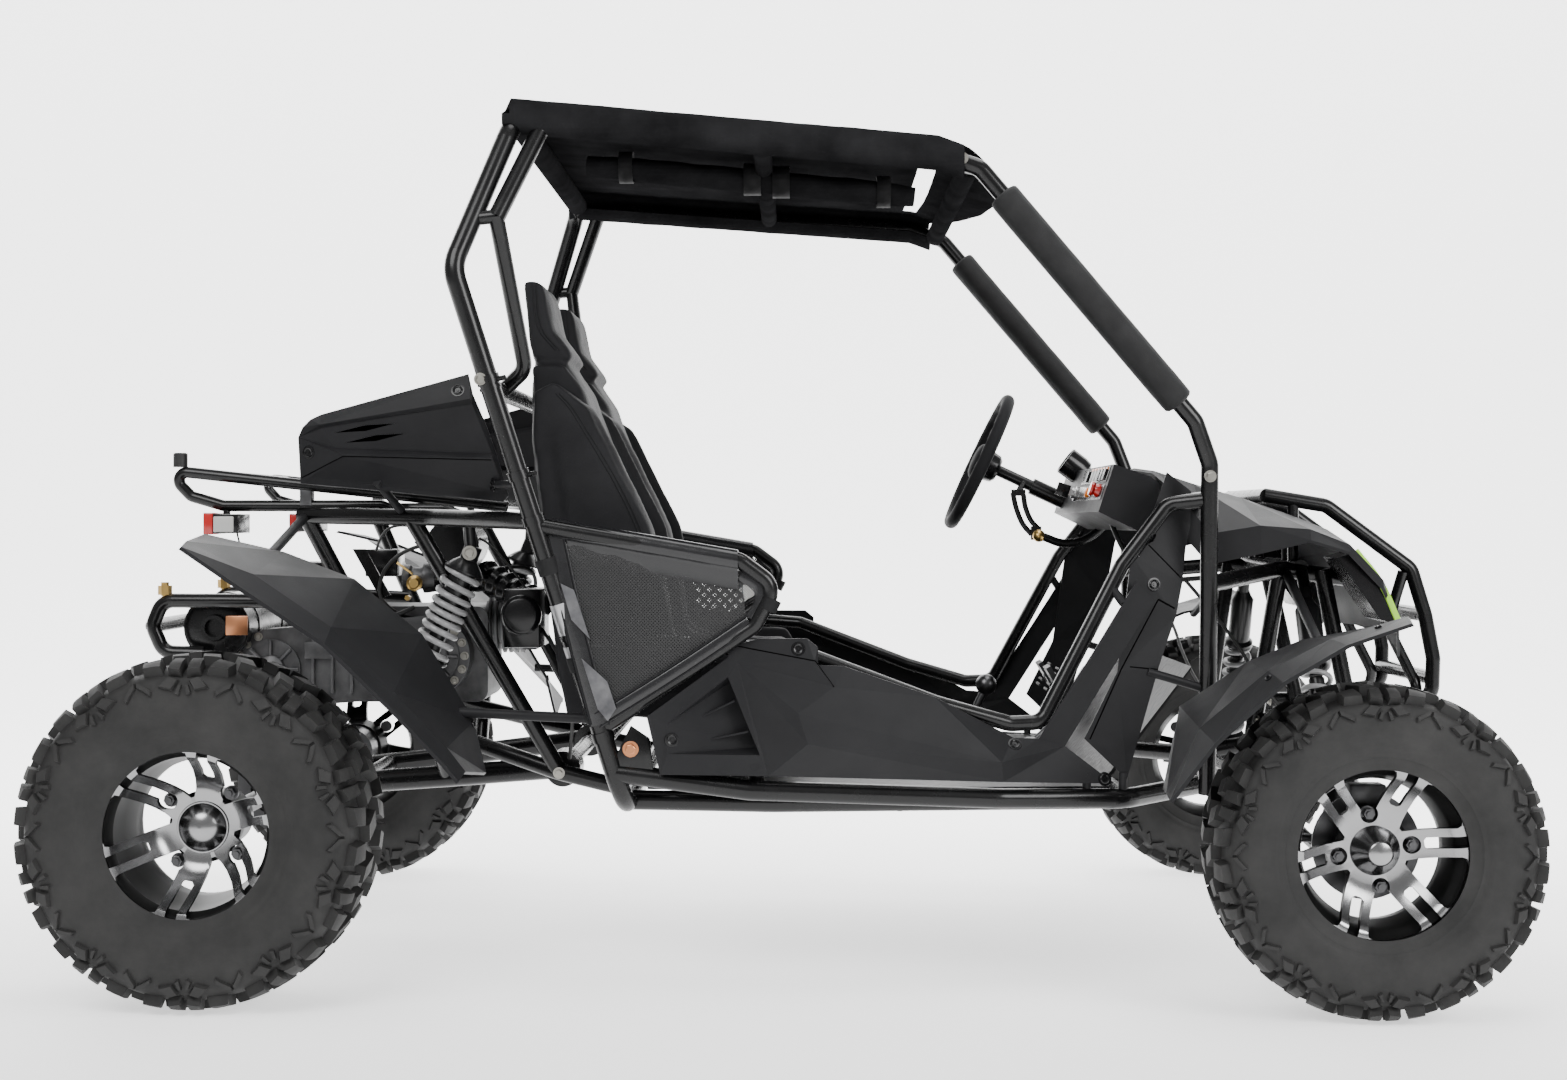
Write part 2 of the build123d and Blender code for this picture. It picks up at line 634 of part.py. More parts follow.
# The bumper's bars, each X measured forward from the front axle
BUMPER_LINES = pair([
    ([(-55, 170, 787), (52, 170, 769), (198, 171, 660), (222, 172, 580), (236, 172, 505), (234, 171, 436),
      (140, 171, 418), (122, 172, 346)], THIN_R, SMALL_BEND),
    ([(-5, 170, 778), (-5, 170, 662)], RACK_R, BEND),
    ([(185, 171, 655), (162, 150, 560), (212, 150, 460), (210, 171, 425)], RACK_R, SMALL_BEND),
]) + [
    ([(-50, -170, 786), (-50, 170, 786)], THIN_R, BEND),
    ([(222, -172, 580), (222, 172, 580)], THIN_R, BEND),
    ([(234, -171, 470), (234, 171, 470)], THIN_R, BEND),
]
BUMPER_BARS = [
    ([(FRONT_X + x, y, z) for x, y, z in points], radius, bend) for points, radius, bend in BUMPER_LINES
]


def front_bumper():
    """The tube bumper over and in front of the nose."""
    return biggest(section("bumper").cut(section("lower", GAP)))


@functools.cache
def engine():
    """The open engine: crankcase, belt case, finned cylinder with its head, and the cross tube's foot."""
    block = fillet((Pos(-640, 5, 505) * Box(250, 190, 170)).edges().filter_by(Axis.Y), 20)
    back, front = (-890, 0, 482), (-610, 0, 505)
    inner_y = -80
    case = make_hull([
        edge for point in (back, front)
        for edge in (Pos(point[0], point[2]) * Circle(CASE_R)).edges()
    ])
    side = Plane(origin=(0, inner_y, 0), x_dir=(1, 0, 0), z_dir=(0, -1, 0))
    case = extrude(side * case, amount=CASE_W)
    covers = [disc((x, inner_y - CASE_W, z), (0, 1, 0), CASE_R - 18, 12) for x, y, z in (back, front)]
    barrel_at = (-515 + FINS * FIN_PITCH / 2, -20, 560)
    barrel = disc(barrel_at, (1, 0, 0), CYLINDER_R, FINS * FIN_PITCH + 20)
    fins = [disc((-515 + step * FIN_PITCH, -20, 560), (1, 0, 0), FIN_R, FIN_T) for step in range(FINS)]
    head = Pos(-444, -20, 560) * Box(24, 92, 96)
    foot = Pos(-620, 0, 410) * Box(60, 200, 40)
    return biggest(fuse([block, case, barrel, head, foot] + covers + fins).cut(section("rear", GAP)))


def intake():
    """The air filter canister, its pipe, and the carburettor with its bowl."""
    can = disc((-560, -150, 700), (0, 1, 0), 46, 120)
    pipe = bar([(-560, -100, 700), (-560, -40, 700), (-560, -40, 640)], 18, 20)
    body = disc((-570, -60, 640), (1, 0, 0), 25, 84)
    bowl = disc((-570, -60, 612), (0, 0, 1), 21, 50)
    return biggest(fuse([can, pipe, body, bowl]).cut(engine(), section("rear", GAP)))


def exhaust():
    """The silencer across the back, with its pipe from the engine."""
    can = disc((-980, 0, 556), (0, 1, 0), 58, 340)
    pipe = bar([(-975, 40, 556), (-975, 40, 466), (-700, 40, 462)], 16, 30)
    return biggest(fuse([can, pipe]).cut(engine(), section("rear", GAP)))


@functools.cache
def swing_arm():
    """The swing arm: two legs from the frame pivot to the axle bearings, with a cross tube."""
    axle = (REAR_X, 0, REAR_TYRE_R)
    carrier = (REAR_X, CARRIER_Y, REAR_TYRE_R)
    pivot = (PIVOT[0], SWING_PIVOT_Y, PIVOT[2])
    knee = (-570, 196, 300)
    cross = between(knee, carrier, 0.53)
    left = fuse([
        bar([between(pivot, knee, 0.06), knee, between(knee, carrier, 0.97)], SWING_R, BEND),
        disc(carrier, (0, 1, 0), CARRIER_R, CARRIER_W),
        disc(pivot, (0, 1, 0), SWING_EYE_R, CARRIER_W),
        bar([knee, SHOCK_FOOT], SWING_R - 5),
        bar([cross, (cross[0], 0, cross[2])], SWING_R - 3),
    ])
    arm = left.fuse(mirrored(left))
    arm = arm.cut(disc(axle, (0, 1, 0), AXLE_R + RUN_FIT, 3 * CARRIER_Y + CARRIER_W))
    return biggest(arm.cut(section("rear", GAP)))


def rear_axle():
    """The live axle with its sprocket, brake disc and hub flanges."""
    reach = REAR_Y + rim_face(REAR_RIM_W, REAR_DISH) - SPOKE_T - GAP
    axle = disc((REAR_X, 0, REAR_TYRE_R), (0, 1, 0), AXLE_R, 2 * reach)
    axle = axle.fuse(disc((REAR_X, SPROCKET_Y, REAR_TYRE_R), (0, 1, 0), SPROCKET_R, 7))
    axle = axle.fuse(disc((REAR_X, -SPROCKET_Y, REAR_TYRE_R), (0, 1, 0), DISC_R, DISC_T))
    for side in (-1, 1):
        axle = axle.fuse(disc((REAR_X, side * (reach - 60), REAR_TYRE_R), (0, 1, 0), HUB_R, 120))
    return axle


def spring(top, foot, radius):
    """A coil spring's solid form between two seats: a ring for each turn round a core."""
    pitch = 1 / SPRING_TURNS
    rings = [
        disc(between(top, foot, (step + 0.5) * pitch), Vector(*foot) - Vector(*top), radius, SPRING_WIRE)
        for step in range(SPRING_TURNS)
    ]
    return fuse([bar([top, foot], radius - SPRING_WIRE)] + rings)


def rear_shock():
    """A rear coil-over unit, left side."""
    top, foot = SHOCK_TOP, SHOCK_FOOT
    coils = spring(between(top, foot, 0.14), between(top, foot, 0.84), REAR_SPRING_R)
    return fuse([bar([top, foot], 13), coils, bar([top, (-500, 430, 744)], 10)])


def rear_shocks():
    return both(rear_shock().cut(section("rear", GAP), swing_arm()))


def a_arm(frame_y, frame_z, end_z, eye_z):
    """A two-legged suspension arm, left side, with the eye that holds the king pin."""
    eye = disc((FRONT_X, KING_Y, eye_z), (0, 0, 1), EYE_R, EYE_H)
    legs = []
    for reach in (-ARM_SPREAD, ARM_SPREAD):
        legs.append(bar([(FRONT_X + reach, frame_y, frame_z), (FRONT_X, KING_Y - 6, end_z)], ARM_R))
        legs.append(disc((FRONT_X + reach, frame_y, frame_z), (1, 0, 0), ARM_R + 5, 30))
    return fuse([eye] + legs).cut(disc((FRONT_X, KING_Y, eye_z), (0, 0, 1), KING_R + RUN_FIT, 2 * EYE_H))


TIE_Z = STEER_ARM_Z + STEER_EYE_H + TIE_GAP


@functools.cache
def front_arms():
    """Upper and lower arms on both sides."""
    pieces = []
    for frame_y, frame_z, end in ((LOWER_ARM_Y, 262, -1), (UPPER_ARM_Y, 400, 1)):
        eye_z = FRONT_TYRE_R + end * (KING_HALF - EYE_H / 2)
        arm = a_arm(frame_y, frame_z, eye_z, eye_z)
        arm = biggest(arm.cut(section("lower", GAP)))
        pieces += [arm, mirrored(arm)]
    return Compound(children=pieces)


def front_shocks():
    """The front coil-over units."""
    foot = (FRONT_X, KING_Y - 148, FRONT_TYRE_R + 18)
    top = (FRONT_X - 5, 262, 628)
    coils = spring(between(foot, top, 0.66), between(foot, top, 0.14), FRONT_SPRING_R)
    cover = bar([between(foot, top, 0.6), between(foot, top, 0.9)], FRONT_SPRING_R - 6)
    unit = fuse([bar([foot, top], 11), coils, cover, bar([top, (FRONT_X - 5, 232, 662)], 11)])
    return both(unit.cut(section("lower", GAP), front_arms()))


def knuckle():
    """The upright with its king pin, wheel spindle and steering arm, left side."""
    centre = (FRONT_X, KING_Y, FRONT_TYRE_R)
    body = KING_HALF - EYE_H - 2
    pin = disc(centre, (0, 0, 1), KING_R, 2 * KING_HALF)
    upright = disc(centre, (0, 0, 1), EYE_R, 2 * body)
    tip = FRONT_Y + rim_face(FRONT_RIM_W, FRONT_DISH) + SPINDLE_END
    spindle = bar([centre, (FRONT_X, tip, FRONT_TYRE_R)], SPINDLE_R)
    eye = (FRONT_X - STEER_ARM_L, KING_Y - STEER_ARM_INSET, STEER_ARM_Z)
    arm = bar([(FRONT_X, KING_Y, STEER_ARM_Z), eye], TIE_R)
    boss = disc(eye, (0, 0, 1), STEER_EYE_R, STEER_EYE_H)
    return fuse([pin, upright, spindle, arm, boss])


def steering_rack():
    """The sliding rack bar with its tie rods, up to the eyes over the steering arms."""
    x = FRONT_X - STEER_ARM_L
    bars = [disc((x, 0, TIE_Z), (0, 1, 0), RACK_BAR_R, 2 * RACK_HALF + 90)]
    for side in (-1, 1):
        eye = (x, side * (KING_Y - STEER_ARM_INSET), TIE_Z)
        bars.append(bar([(x, side * (RACK_HALF + 40), TIE_Z), eye], TIE_R))
        bars.append(disc(eye, (0, 0, 1), STEER_EYE_R - 1, STEER_EYE_H))
    return fuse(bars)


def rack_housing():
    """The fixed tube round the rack bar, with the pinion box and the column's lower bearing."""
    x = FRONT_X - STEER_ARM_L
    housing = disc((x, 0, TIE_Z), (0, 1, 0), RACK_TUBE_R, 2 * RACK_HALF)
    for side in (-1, 1):
        housing = housing.fuse(bar([(x, side * 120, TIE_Z), (FRONT_X - 100, side * 120, 301)], 9))
    housing = housing.cut(disc((x, 0, TIE_Z), (0, 1, 0), RACK_BAR_R + RUN_FIT, 2 * RACK_HALF + 20))
    return biggest(housing.cut(section("lower", GAP)))


TILT = math.radians(WHEEL_TILT)
COLUMN_DIR = (math.cos(TILT), 0, -math.sin(TILT))


def along_column(distance):
    """The point on the steering axis that far forward of the wheel."""
    return tuple(p + distance * q for p, q in zip(STEER_CENTRE, COLUMN_DIR))


def steering_wheel():
    """The three-spoke steering wheel on its shaft."""
    plane = Plane(origin=STEER_CENTRE, z_dir=COLUMN_DIR, x_dir=(0, 1, 0))
    ring = plane * Torus(STEER_R, STEER_GRIP_R)
    shaft = bar([along_column(0), along_column(COLUMN_L)], COLUMN_R)
    hub = disc(along_column(18), COLUMN_DIR, 34, 30)
    pieces = [ring, shaft, hub]
    for angle in (0, 180, 270):
        turn = math.radians(angle)
        tip = plane.from_local_coords((STEER_R * math.cos(turn), STEER_R * math.sin(turn), 0))
        pieces.append(bar([along_column(18), (tip.X, tip.Y, tip.Z)], 8))
    return fuse(pieces)


def column_space():
    return bar([along_column(0), along_column(COLUMN_L + 20)], COLUMN_R + 6)


def steering_column():
    """The fixed tube that carries the wheel's shaft, held under the dash bar."""
    tube = bar([along_column(110), along_column(COLUMN_L - 10)], COLUMN_R + 5)
    tube = tube.cut(bar([along_column(0), along_column(COLUMN_L + 20)], COLUMN_R + RUN_FIT))
    middle = along_column(COLUMN_L - 30)
    stay = bar([(middle[0], middle[1] + 14, middle[2]), (DASH_BAR[0], middle[1] + 14, DASH_BAR[2])], 8)
    piece = tube.fuse(stay).cut(section("roof", GAP), dashboard())
    return biggest(piece.cut(bar([along_column(0), along_column(COLUMN_L + 20)], COLUMN_R + RUN_FIT)))


def pedals():
    """Brake and throttle pedals on the toe board."""
    pieces = []
    floor = RAIL_Z + TUBE_R + PANEL_T + 2 * GAP
    for y in (160, 300):
        pad = Pos(520, y, floor + 128) * Rot(0, -30, 0) * Box(10, 60, 60)
        stem = bar([(520, y, floor + 128), (560, y, floor + 60), (500, y, floor + 4)], 7, 20)
        foot = Pos(500, y, floor + 3) * Box(40, 40, 6)
        pieces.append(fuse([pad, stem, foot]))
    return Compound(children=[biggest(p.cut(floor_pan())) for p in pieces])


def shift_lever():
    """The gear lever between the seats."""
    floor = RAIL_Z + TUBE_R + PANEL_T + 2 * GAP
    stem = bar([(340, 0, floor + 8), (345, 0, floor + 60), (376, 0, 438)], 7, 20)
    knob = Pos(378, 0, 446) * Sphere(19)
    foot = Pos(340, 0, floor + 6) * Box(80, 50, 12)
    return fuse([stem, knob, foot])


def tyre_solid(centre, side, tyre_r, width, rim_w):
    """A tyre made of flat facets, with staggered lugs on both shoulders and a middle rib."""
    sections = 2 * LUG_PAIRS
    half = width / 2
    bead = rim_w / 2 - FLANGE_T - GAP
    inner = (BEAD_R + GAP) / math.cos(math.pi / sections)
    crown = [
        (-half + 4, tyre_r - 56), (-half + 16, tyre_r - 17), (-half * 0.36, tyre_r),
        (half * 0.36, tyre_r), (half - 16, tyre_r - 17), (half - 4, tyre_r - 56),
    ]
    side_wall = [(-bead, inner), (-bead, FLANGE_R + 4), (-half, tyre_r * 0.72)]
    outline = side_wall + crown + [(-y, r) for y, r in reversed(side_wall)]
    low = {3: -LUG_H, 4: -LUG_H, 7: -LUG_H, 8: -LUG_H}

    def section(raised):
        ring = []
        for index, (y, r) in enumerate(outline):
            sunk = index in low and (index < 6) != raised
            ring.append((y, r + low[index] if sunk else r))
        return ring

    def place(y, r, angle):
        x0, y0, z0 = centre
        return Vector(x0 + side * r * math.sin(angle), y0 + side * y, z0 + r * math.cos(angle))

    sides = []
    for step in range(sections):
        start = (step - 0.5) * 2 * math.pi / sections
        stop = (step + 0.5) * 2 * math.pi / sections
        ring = section(step % 2 == 0)
        stretch = 1 / math.cos(math.pi / sections)
        for (y1, r1), (y2, r2) in zip(ring, ring[1:] + ring[:1]):
            r1, r2 = r1 * stretch, r2 * stretch
            spots = [(y1, r1, start), (y2, r2, start), (y2, r2, stop), (y1, r1, stop)]
            corners = [place(*spot) for spot in spots]
            sides.append(Face(Wire.make_polygon(corners)))
        high, sunk = section(True), section(False)
        for first in (2, 6):
            lug = [high[i] for i in range(first, first + 4)]
            lug += [sunk[i] for i in range(first + 2, first, -1)]
            corners = [place(y, r * stretch, stop) for y, r in lug]
            sides.append(Face(Wire.make_polygon(corners)))
    return Solid(Shell(sides))


# The machined face of a wheel from the hub out: radius, and its depth as a share of the dish
WEB_LINE = [(0, 1.0), (62, 0.965), (76, 0.83), (94, 0.55), (108, 0.24), (118, 0.035), (124, 0.012)]


def rim_face(rim_w, dish):
    """How far out of the wheel's middle plane the face of its hub lies."""
    return rim_w / 2 - RIM_EDGE - dish


def wedge(inner_r, outer_r, inner_w, outer_w, height):
    """A straight-sided cutter along +X, from a width at its inner radius to a width at its outer one."""
    arc = math.asin(outer_w / 2 / outer_r)
    steps = 6
    outline = [(inner_r, inner_w / 2)]
    for step in range(steps + 1):
        turn = arc * (1 - 2 * step / steps)
        outline.append((outer_r * math.cos(turn), outer_r * math.sin(turn)))
    outline.append((inner_r, -inner_w / 2))
    return extrude(make_face(Polyline(*outline, close=True)), amount=height, both=True)


def rim(centre, rim_w, dish, cap, pcd, spoke_at, bolt_at):
    """A cast wheel: barrel with flanges, a dished web cut into slotted spokes, hub, cap and nuts."""
    side = 1 if centre[1] > 0 else -1
    half = rim_w / 2
    outline = [
        (BEAD_R - RIM_WALL, -half), (FLANGE_R, -half), (FLANGE_R, -half + FLANGE_T),
        (BEAD_R, -half + FLANGE_T), (BEAD_R, half - FLANGE_T), (FLANGE_R, half - FLANGE_T),
        (FLANGE_R, half), (BEAD_R - RIM_WALL, half),
    ]
    barrel = revolve(Plane.XZ * make_face(Polyline(*outline, close=True)), axis=Axis.Z)
    face = [(r, half - RIM_EDGE - dish * share) for r, share in WEB_LINE]
    back = [(r, z - SPOKE_T) for r, z in reversed(face)]
    wheel = revolve(Plane.XZ * make_face(Polyline(*(face + back), close=True)), axis=Axis.Z)
    turn_back = 180 if side > 0 else 0
    pitch = 360 / SPOKES
    window_w = 2 * BEAD_R * math.sin(math.radians(pitch / 2)) - SPOKE_W
    for step in range(SPOKES):
        spoke = Rot(0, 0, turn_back + spoke_at + step * pitch)
        window = Rot(0, 0, turn_back + spoke_at + (step + 0.5) * pitch)
        wheel = wheel.cut(window * wedge(WINDOW_R, BEAD_R + GAP, SPOKE_SLOT_W, window_w, 2 * rim_w))
        slot = wedge(SLOT_R, BEAD_R - RIM_WALL - 2, SPOKE_SLOT_W - 5, SPOKE_SLOT_W, 2 * rim_w)
        wheel = wheel.cut(spoke * slot)
    wheel = barrel.fuse(wheel)
    hub_z = rim_face(rim_w, dish)
    low_r, high_r, high = cap
    wheel = wheel.fuse(Pos(0, 0, hub_z + high / 2 - 1) * Cone(low_r, high_r, high + 2))
    for step in range(LUG_BOLTS):
        angle = math.radians(turn_back + bolt_at + step * 360 / LUG_BOLTS)
        spot = Pos(pcd / 2 * math.cos(angle), pcd / 2 * math.sin(angle), hub_z)
        wheel = wheel.fuse(spot * Cylinder(LUG_BOLT_R, 2 * LUG_BOLT_H))
    return Plane(origin=centre, x_dir=(1, 0, 0), z_dir=(0, side, 0)) * wheel


def rear_rim(side):
    centre = (REAR_X, side * REAR_Y, REAR_TYRE_R)
    return biggest(rim(centre, REAR_RIM_W, REAR_DISH, REAR_CAP, REAR_BOLT_PCD, REAR_SPOKE_AT, REAR_BOLT_AT))


def front_rim(side):
    """A front wheel, with the hub that runs on the spindle."""
    centre = (FRONT_X, side * FRONT_Y, FRONT_TYRE_R)
    wheel = rim(centre, FRONT_RIM_W, FRONT_DISH, FRONT_CAP, FRONT_BOLT_PCD, FRONT_SPOKE_AT, FRONT_BOLT_AT)
    face = FRONT_Y + rim_face(FRONT_RIM_W, FRONT_DISH)
    hub = disc((FRONT_X, side * (face - 1 - FRONT_HUB_L / 2), FRONT_TYRE_R), (0, 1, 0), HUB_R, FRONT_HUB_L)
    bore = [(FRONT_X, side * y, FRONT_TYRE_R) for y in (KING_Y, face + SPINDLE_END + 2)]
    return biggest(wheel.fuse(hub).cut(bar(bore, SPINDLE_R + RUN_FIT)))


def nodes():
    """Every node's name and shape."""
    right, left = -1, 1
    shapes = {
        "main_hoop": section("hoop"),
        "lower_frame": trimmed("lower", "hoop", "roof"),
        "roof_frame": trimmed("roof", "hoop"),
        "rear_frame": trimmed("rear", "hoop"),
        "entry_bars": entry_bars(),
        "side_bars": side_bars(),
        "floor_pan": floor_pan(),
        "skirts": both(skirt()),
        "cowl_sides": both(cowl_side()),
        "front_cowl": hood(),
        "dashboard": dashboard(),
        "headlamps": headlamps(),
        "rear_panels": both(rear_panel()),
        "rear_fenders": both(rear_fender()),
        "front_fenders": both(front_fender()),
        "seat_left": seat(left),
        "seat_right": seat(right),
        "roof_canopy": roof_canopy(),
        "roof_pads": roof_pads(),
        "pillar_pads": pillar_pads(),
        "side_nets": side_nets(),
        "rear_rack": trimmed("rack", "rear", "hoop"),
        "tail_lamps": tail_lamps(),
        "front_bumper": front_bumper(),
        "engine": engine(),
        "intake": intake(),
        "exhaust": exhaust(),
        "swing_arm": swing_arm(),
        "rear_shocks": rear_shocks(),
        "front_arms": front_arms(),
        "front_shocks": front_shocks(),
        "rack_housing": rack_housing(),
        "steering_rack": steering_rack(),
        "steering_column": steering_column(),
        "steering_wheel": steering_wheel(),
        "pedals": pedals(),
        "shift_lever": shift_lever(),
        "rear_axle": rear_axle(),
    }
    for name, side in (("left", left), ("right", right)):
        rear = (REAR_X, side * REAR_Y, REAR_TYRE_R)
        front = (FRONT_X, side * FRONT_Y, FRONT_TYRE_R)
        shapes["rear_rim_" + name] = rear_rim(side)
        shapes["front_rim_" + name] = front_rim(side)
        shapes["rear_tyre_" + name] = tyre_solid(rear, side, REAR_TYRE_R, REAR_TYRE_W, REAR_RIM_W)
        shapes["front_tyre_" + name] = tyre_solid(front, side, FRONT_TYRE_R, FRONT_TYRE_W, FRONT_RIM_W)
        shapes["knuckle_" + name] = knuckle() if side == left else mirrored(knuckle())
    return shapes


def main():
    os.makedirs("parts", exist_ok=True)
    for name, shape in nodes().items():
        export_step(shape, os.path.join("parts", name + ".step"))
        print(name, len(shape.solids()), round(shape.volume / 1e6, 3))


main()
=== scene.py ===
"""The looks of an open two-seat off-road buggy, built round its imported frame.

Metres, in the frame's own axes: +X forward, +Y the buggy's left, +Z up, floor at Z = 0.
"""

import math

import bmesh
import bpy
from mathutils import Matrix, Vector
from mathutils.bvhtree import BVHTree
from mathutils.noise import noise as noise_at


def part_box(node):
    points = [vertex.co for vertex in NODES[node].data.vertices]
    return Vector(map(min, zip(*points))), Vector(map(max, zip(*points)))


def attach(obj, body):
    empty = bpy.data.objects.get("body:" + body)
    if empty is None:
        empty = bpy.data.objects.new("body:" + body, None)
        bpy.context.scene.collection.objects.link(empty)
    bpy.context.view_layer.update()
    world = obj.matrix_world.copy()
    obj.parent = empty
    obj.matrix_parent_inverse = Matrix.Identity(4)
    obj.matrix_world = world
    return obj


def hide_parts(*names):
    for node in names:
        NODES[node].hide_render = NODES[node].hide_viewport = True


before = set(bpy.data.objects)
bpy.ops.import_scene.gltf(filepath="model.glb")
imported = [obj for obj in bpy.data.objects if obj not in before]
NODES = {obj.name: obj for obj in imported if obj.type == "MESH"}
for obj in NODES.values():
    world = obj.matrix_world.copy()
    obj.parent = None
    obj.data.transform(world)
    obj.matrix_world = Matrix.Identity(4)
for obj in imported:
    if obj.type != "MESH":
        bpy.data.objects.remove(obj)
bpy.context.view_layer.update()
MM = 0.001

# Camera, solved from the near and far wheels in the photograph's frame
IMAGE_W, IMAGE_H = 1567, 1080
FOCAL_PX = 2267.0
CENTRE_U, HORIZON_V = 752.5, 520.0
CAMERA_AT = (0.0408, -4.118, 0.744)
CAMERA_YAW = math.radians(1.2)

# The rim flange's radius, and the angles of the first spokes and of the first rear nut
FLANGE_R = 138 * MM
REAR_PHASE, FRONT_PHASE = math.radians(19), math.radians(9)
REAR_NUT_PHASE = math.radians(51.8)


def new_mesh(name, verts, faces, mats=(), smooth=True, sharp=35.0):
    """A mesh object from plain lists, smooth but for its sharp edges."""
    mesh = bpy.data.meshes.new(name)
    mesh.from_pydata([tuple(v) for v in verts], [], faces)
    mesh.update()
    obj = bpy.data.objects.new(name, mesh)
    bpy.context.scene.collection.objects.link(obj)
    for mat in mats:
        mesh.materials.append(mat)
    if smooth:
        soften(obj, sharp)
    return obj


def soften(obj, sharp=35.0):
    """Smooth shading with sharp edges kept past an angle in degrees."""
    obj.data.polygons.foreach_set("use_smooth", [True] * len(obj.data.polygons))
    obj.data.set_sharp_from_angle(angle=math.radians(sharp))


def finish_piece(obj, body, slot, *nodes):
    """Rides a piece on its body and hides the nodes it stands for; the slot is not used."""
    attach(obj, body)
    if nodes:
        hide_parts(*nodes)
    return obj


def apply_modifiers(obj):
    """The object's evaluated mesh in place of its modifiers."""
    graph = bpy.context.evaluated_depsgraph_get()
    mesh = bpy.data.meshes.new_from_object(obj.evaluated_get(graph))
    obj.modifiers.clear()
    obj.data = mesh
    return obj


# Faces and curves that the shapes share

def angles(count, shift=0):
    """Angles spaced evenly round a full turn, shifted by a share of one step."""
    return [2 * math.pi * (k + shift) / count for k in range(count)]


def quads(rows, wide, ring=False, loop=False, flip=False):
    """Faces between rows of vertices: ring closes each row, and loop joins the last row to the first."""
    faces = []
    for i in range(rows if loop else rows - 1):
        for j in range(wide if ring else wide - 1):
            row, nxt = i * wide, (i + 1) % rows * wide
            face = (row + j, row + (j + 1) % wide, nxt + (j + 1) % wide, nxt + j)
            faces.append((face[0], face[3], face[2], face[1]) if flip else face)
    return faces


def end_faces(rows, wide):
    """The first and the last row as closing faces."""
    return [tuple(range(wide)), tuple(reversed(range((rows - 1) * wide, rows * wide)))]


def between(p0, p1, p2, p3, f):
    """A value on the smooth curve through four, a share of the way from the second to the third."""
    return 0.5 * (2 * p1 + (p2 - p0) * f + (2 * p0 - 5 * p1 + 4 * p2 - p3) * f * f
                  + (3 * p1 - p0 - 3 * p2 + p3) * f ** 3)


def joined(pieces):
    """Several (verts, faces) as one."""
    verts, faces = [], []
    for v, f in pieces:
        base = len(verts)
        verts += v
        faces += [tuple(i + base for i in face) for face in f]
    return verts, faces


def outward(obj):
    """Makes every face of a closed mesh point outwards."""
    bm = bmesh.new()
    bm.from_mesh(obj.data)
    bmesh.ops.recalc_face_normals(bm, faces=bm.faces)
    bm.to_mesh(obj.data)
    bm.free()


def thickened(obj, offset):
    """Gives a sheet a thickness of 1.6 mm, on the side that offset says."""
    thick = obj.modifiers.new("thick", "SOLIDIFY")
    thick.thickness = 1.6 * MM
    thick.offset = offset
    apply_modifiers(obj)


# Materials

def sockets(mat):
    """The input sockets of a material's principled shader."""
    return mat.node_tree.nodes["Principled BSDF"].inputs


def shader(name, color, rough, metallic=0.0, coat=0.0, coat_rough=0.05, sheen=0.0, specular=0.5):
    """A material with its principled shader and constants on its own sockets."""
    mat = bpy.data.materials.new(name)
    mat.use_nodes = True
    values = {
        "Base Color": (*color, 1.0), "Roughness": rough, "Metallic": metallic, "Coat Weight": coat,
        "Coat Roughness": coat_rough, "Sheen Weight": sheen, "Specular IOR Level": specular,
    }
    for socket, value in values.items():
        sockets(mat)[socket].default_value = value
    return mat


def node(mat, kind, **values):
    """A new node, with its settings and socket values by name."""
    made = mat.node_tree.nodes.new(kind)
    for key, value in values.items():
        if hasattr(made, key):
            setattr(made, key, value)
        else:
            made.inputs[key.replace("_", " ")].default_value = value
    return made


def link(mat, source, target):
    mat.node_tree.links.new(source, target)


def coords(mat, stretch=(1, 1, 1)):
    """Object coordinates in metres, stretched along each axis."""
    place = node(mat, "ShaderNodeTexCoord")
    scale = node(mat, "ShaderNodeMapping")
    scale.inputs["Scale"].default_value = stretch
    link(mat, place.outputs["Object"], scale.inputs["Vector"])
    return scale.outputs["Vector"]


def noise(mat, scale, detail=4.0, rough=0.55, stretch=(1, 1, 1)):
    made = node(mat, "ShaderNodeTexNoise", Scale=scale, Detail=detail, Roughness=rough)
    link(mat, coords(mat, stretch), made.inputs["Vector"])
    return made.outputs["Fac"]


def cells(mat, scale, feature="F1", stretch=(1, 1, 1)):
    made = node(mat, "ShaderNodeTexVoronoi", feature=feature, Scale=scale)
    link(mat, coords(mat, stretch), made.inputs["Vector"])
    return made.outputs["Distance"]


def spread(mat, value, low, high, start=0.0, stop=1.0):
    """A value mapped from start..stop to low..high."""
    made = node(mat, "ShaderNodeMapRange", From_Min=start, From_Max=stop, To_Min=low, To_Max=high)
    link(mat, value, made.inputs["Value"])
    return made.outputs["Result"]


def maths(mat, operation, *values):
    """A sum on numbers and sockets."""
    made = node(mat, "ShaderNodeMath", operation=operation)
    for socket, value in zip(made.inputs, values):
        if isinstance(value, float):
            socket.default_value = value
        else:
            link(mat, value, socket)
    return made.outputs[0]


def two_tone(mat, value, dark, light):
    """The base colour between two tones, by a value."""
    ramp = node(mat, "ShaderNodeValToRGB")
    for stop, place, color in zip(ramp.color_ramp.elements, (0.3, 0.7), (dark, light)):
        stop.position = place
        stop.color = (*color, 1)
    link(mat, value, ramp.inputs["Fac"])
    link(mat, ramp.outputs["Color"], sockets(mat)["Base Color"])


def rough_by(mat, value, low, high):
    link(mat, spread(mat, value, low, high), sockets(mat)["Roughness"])


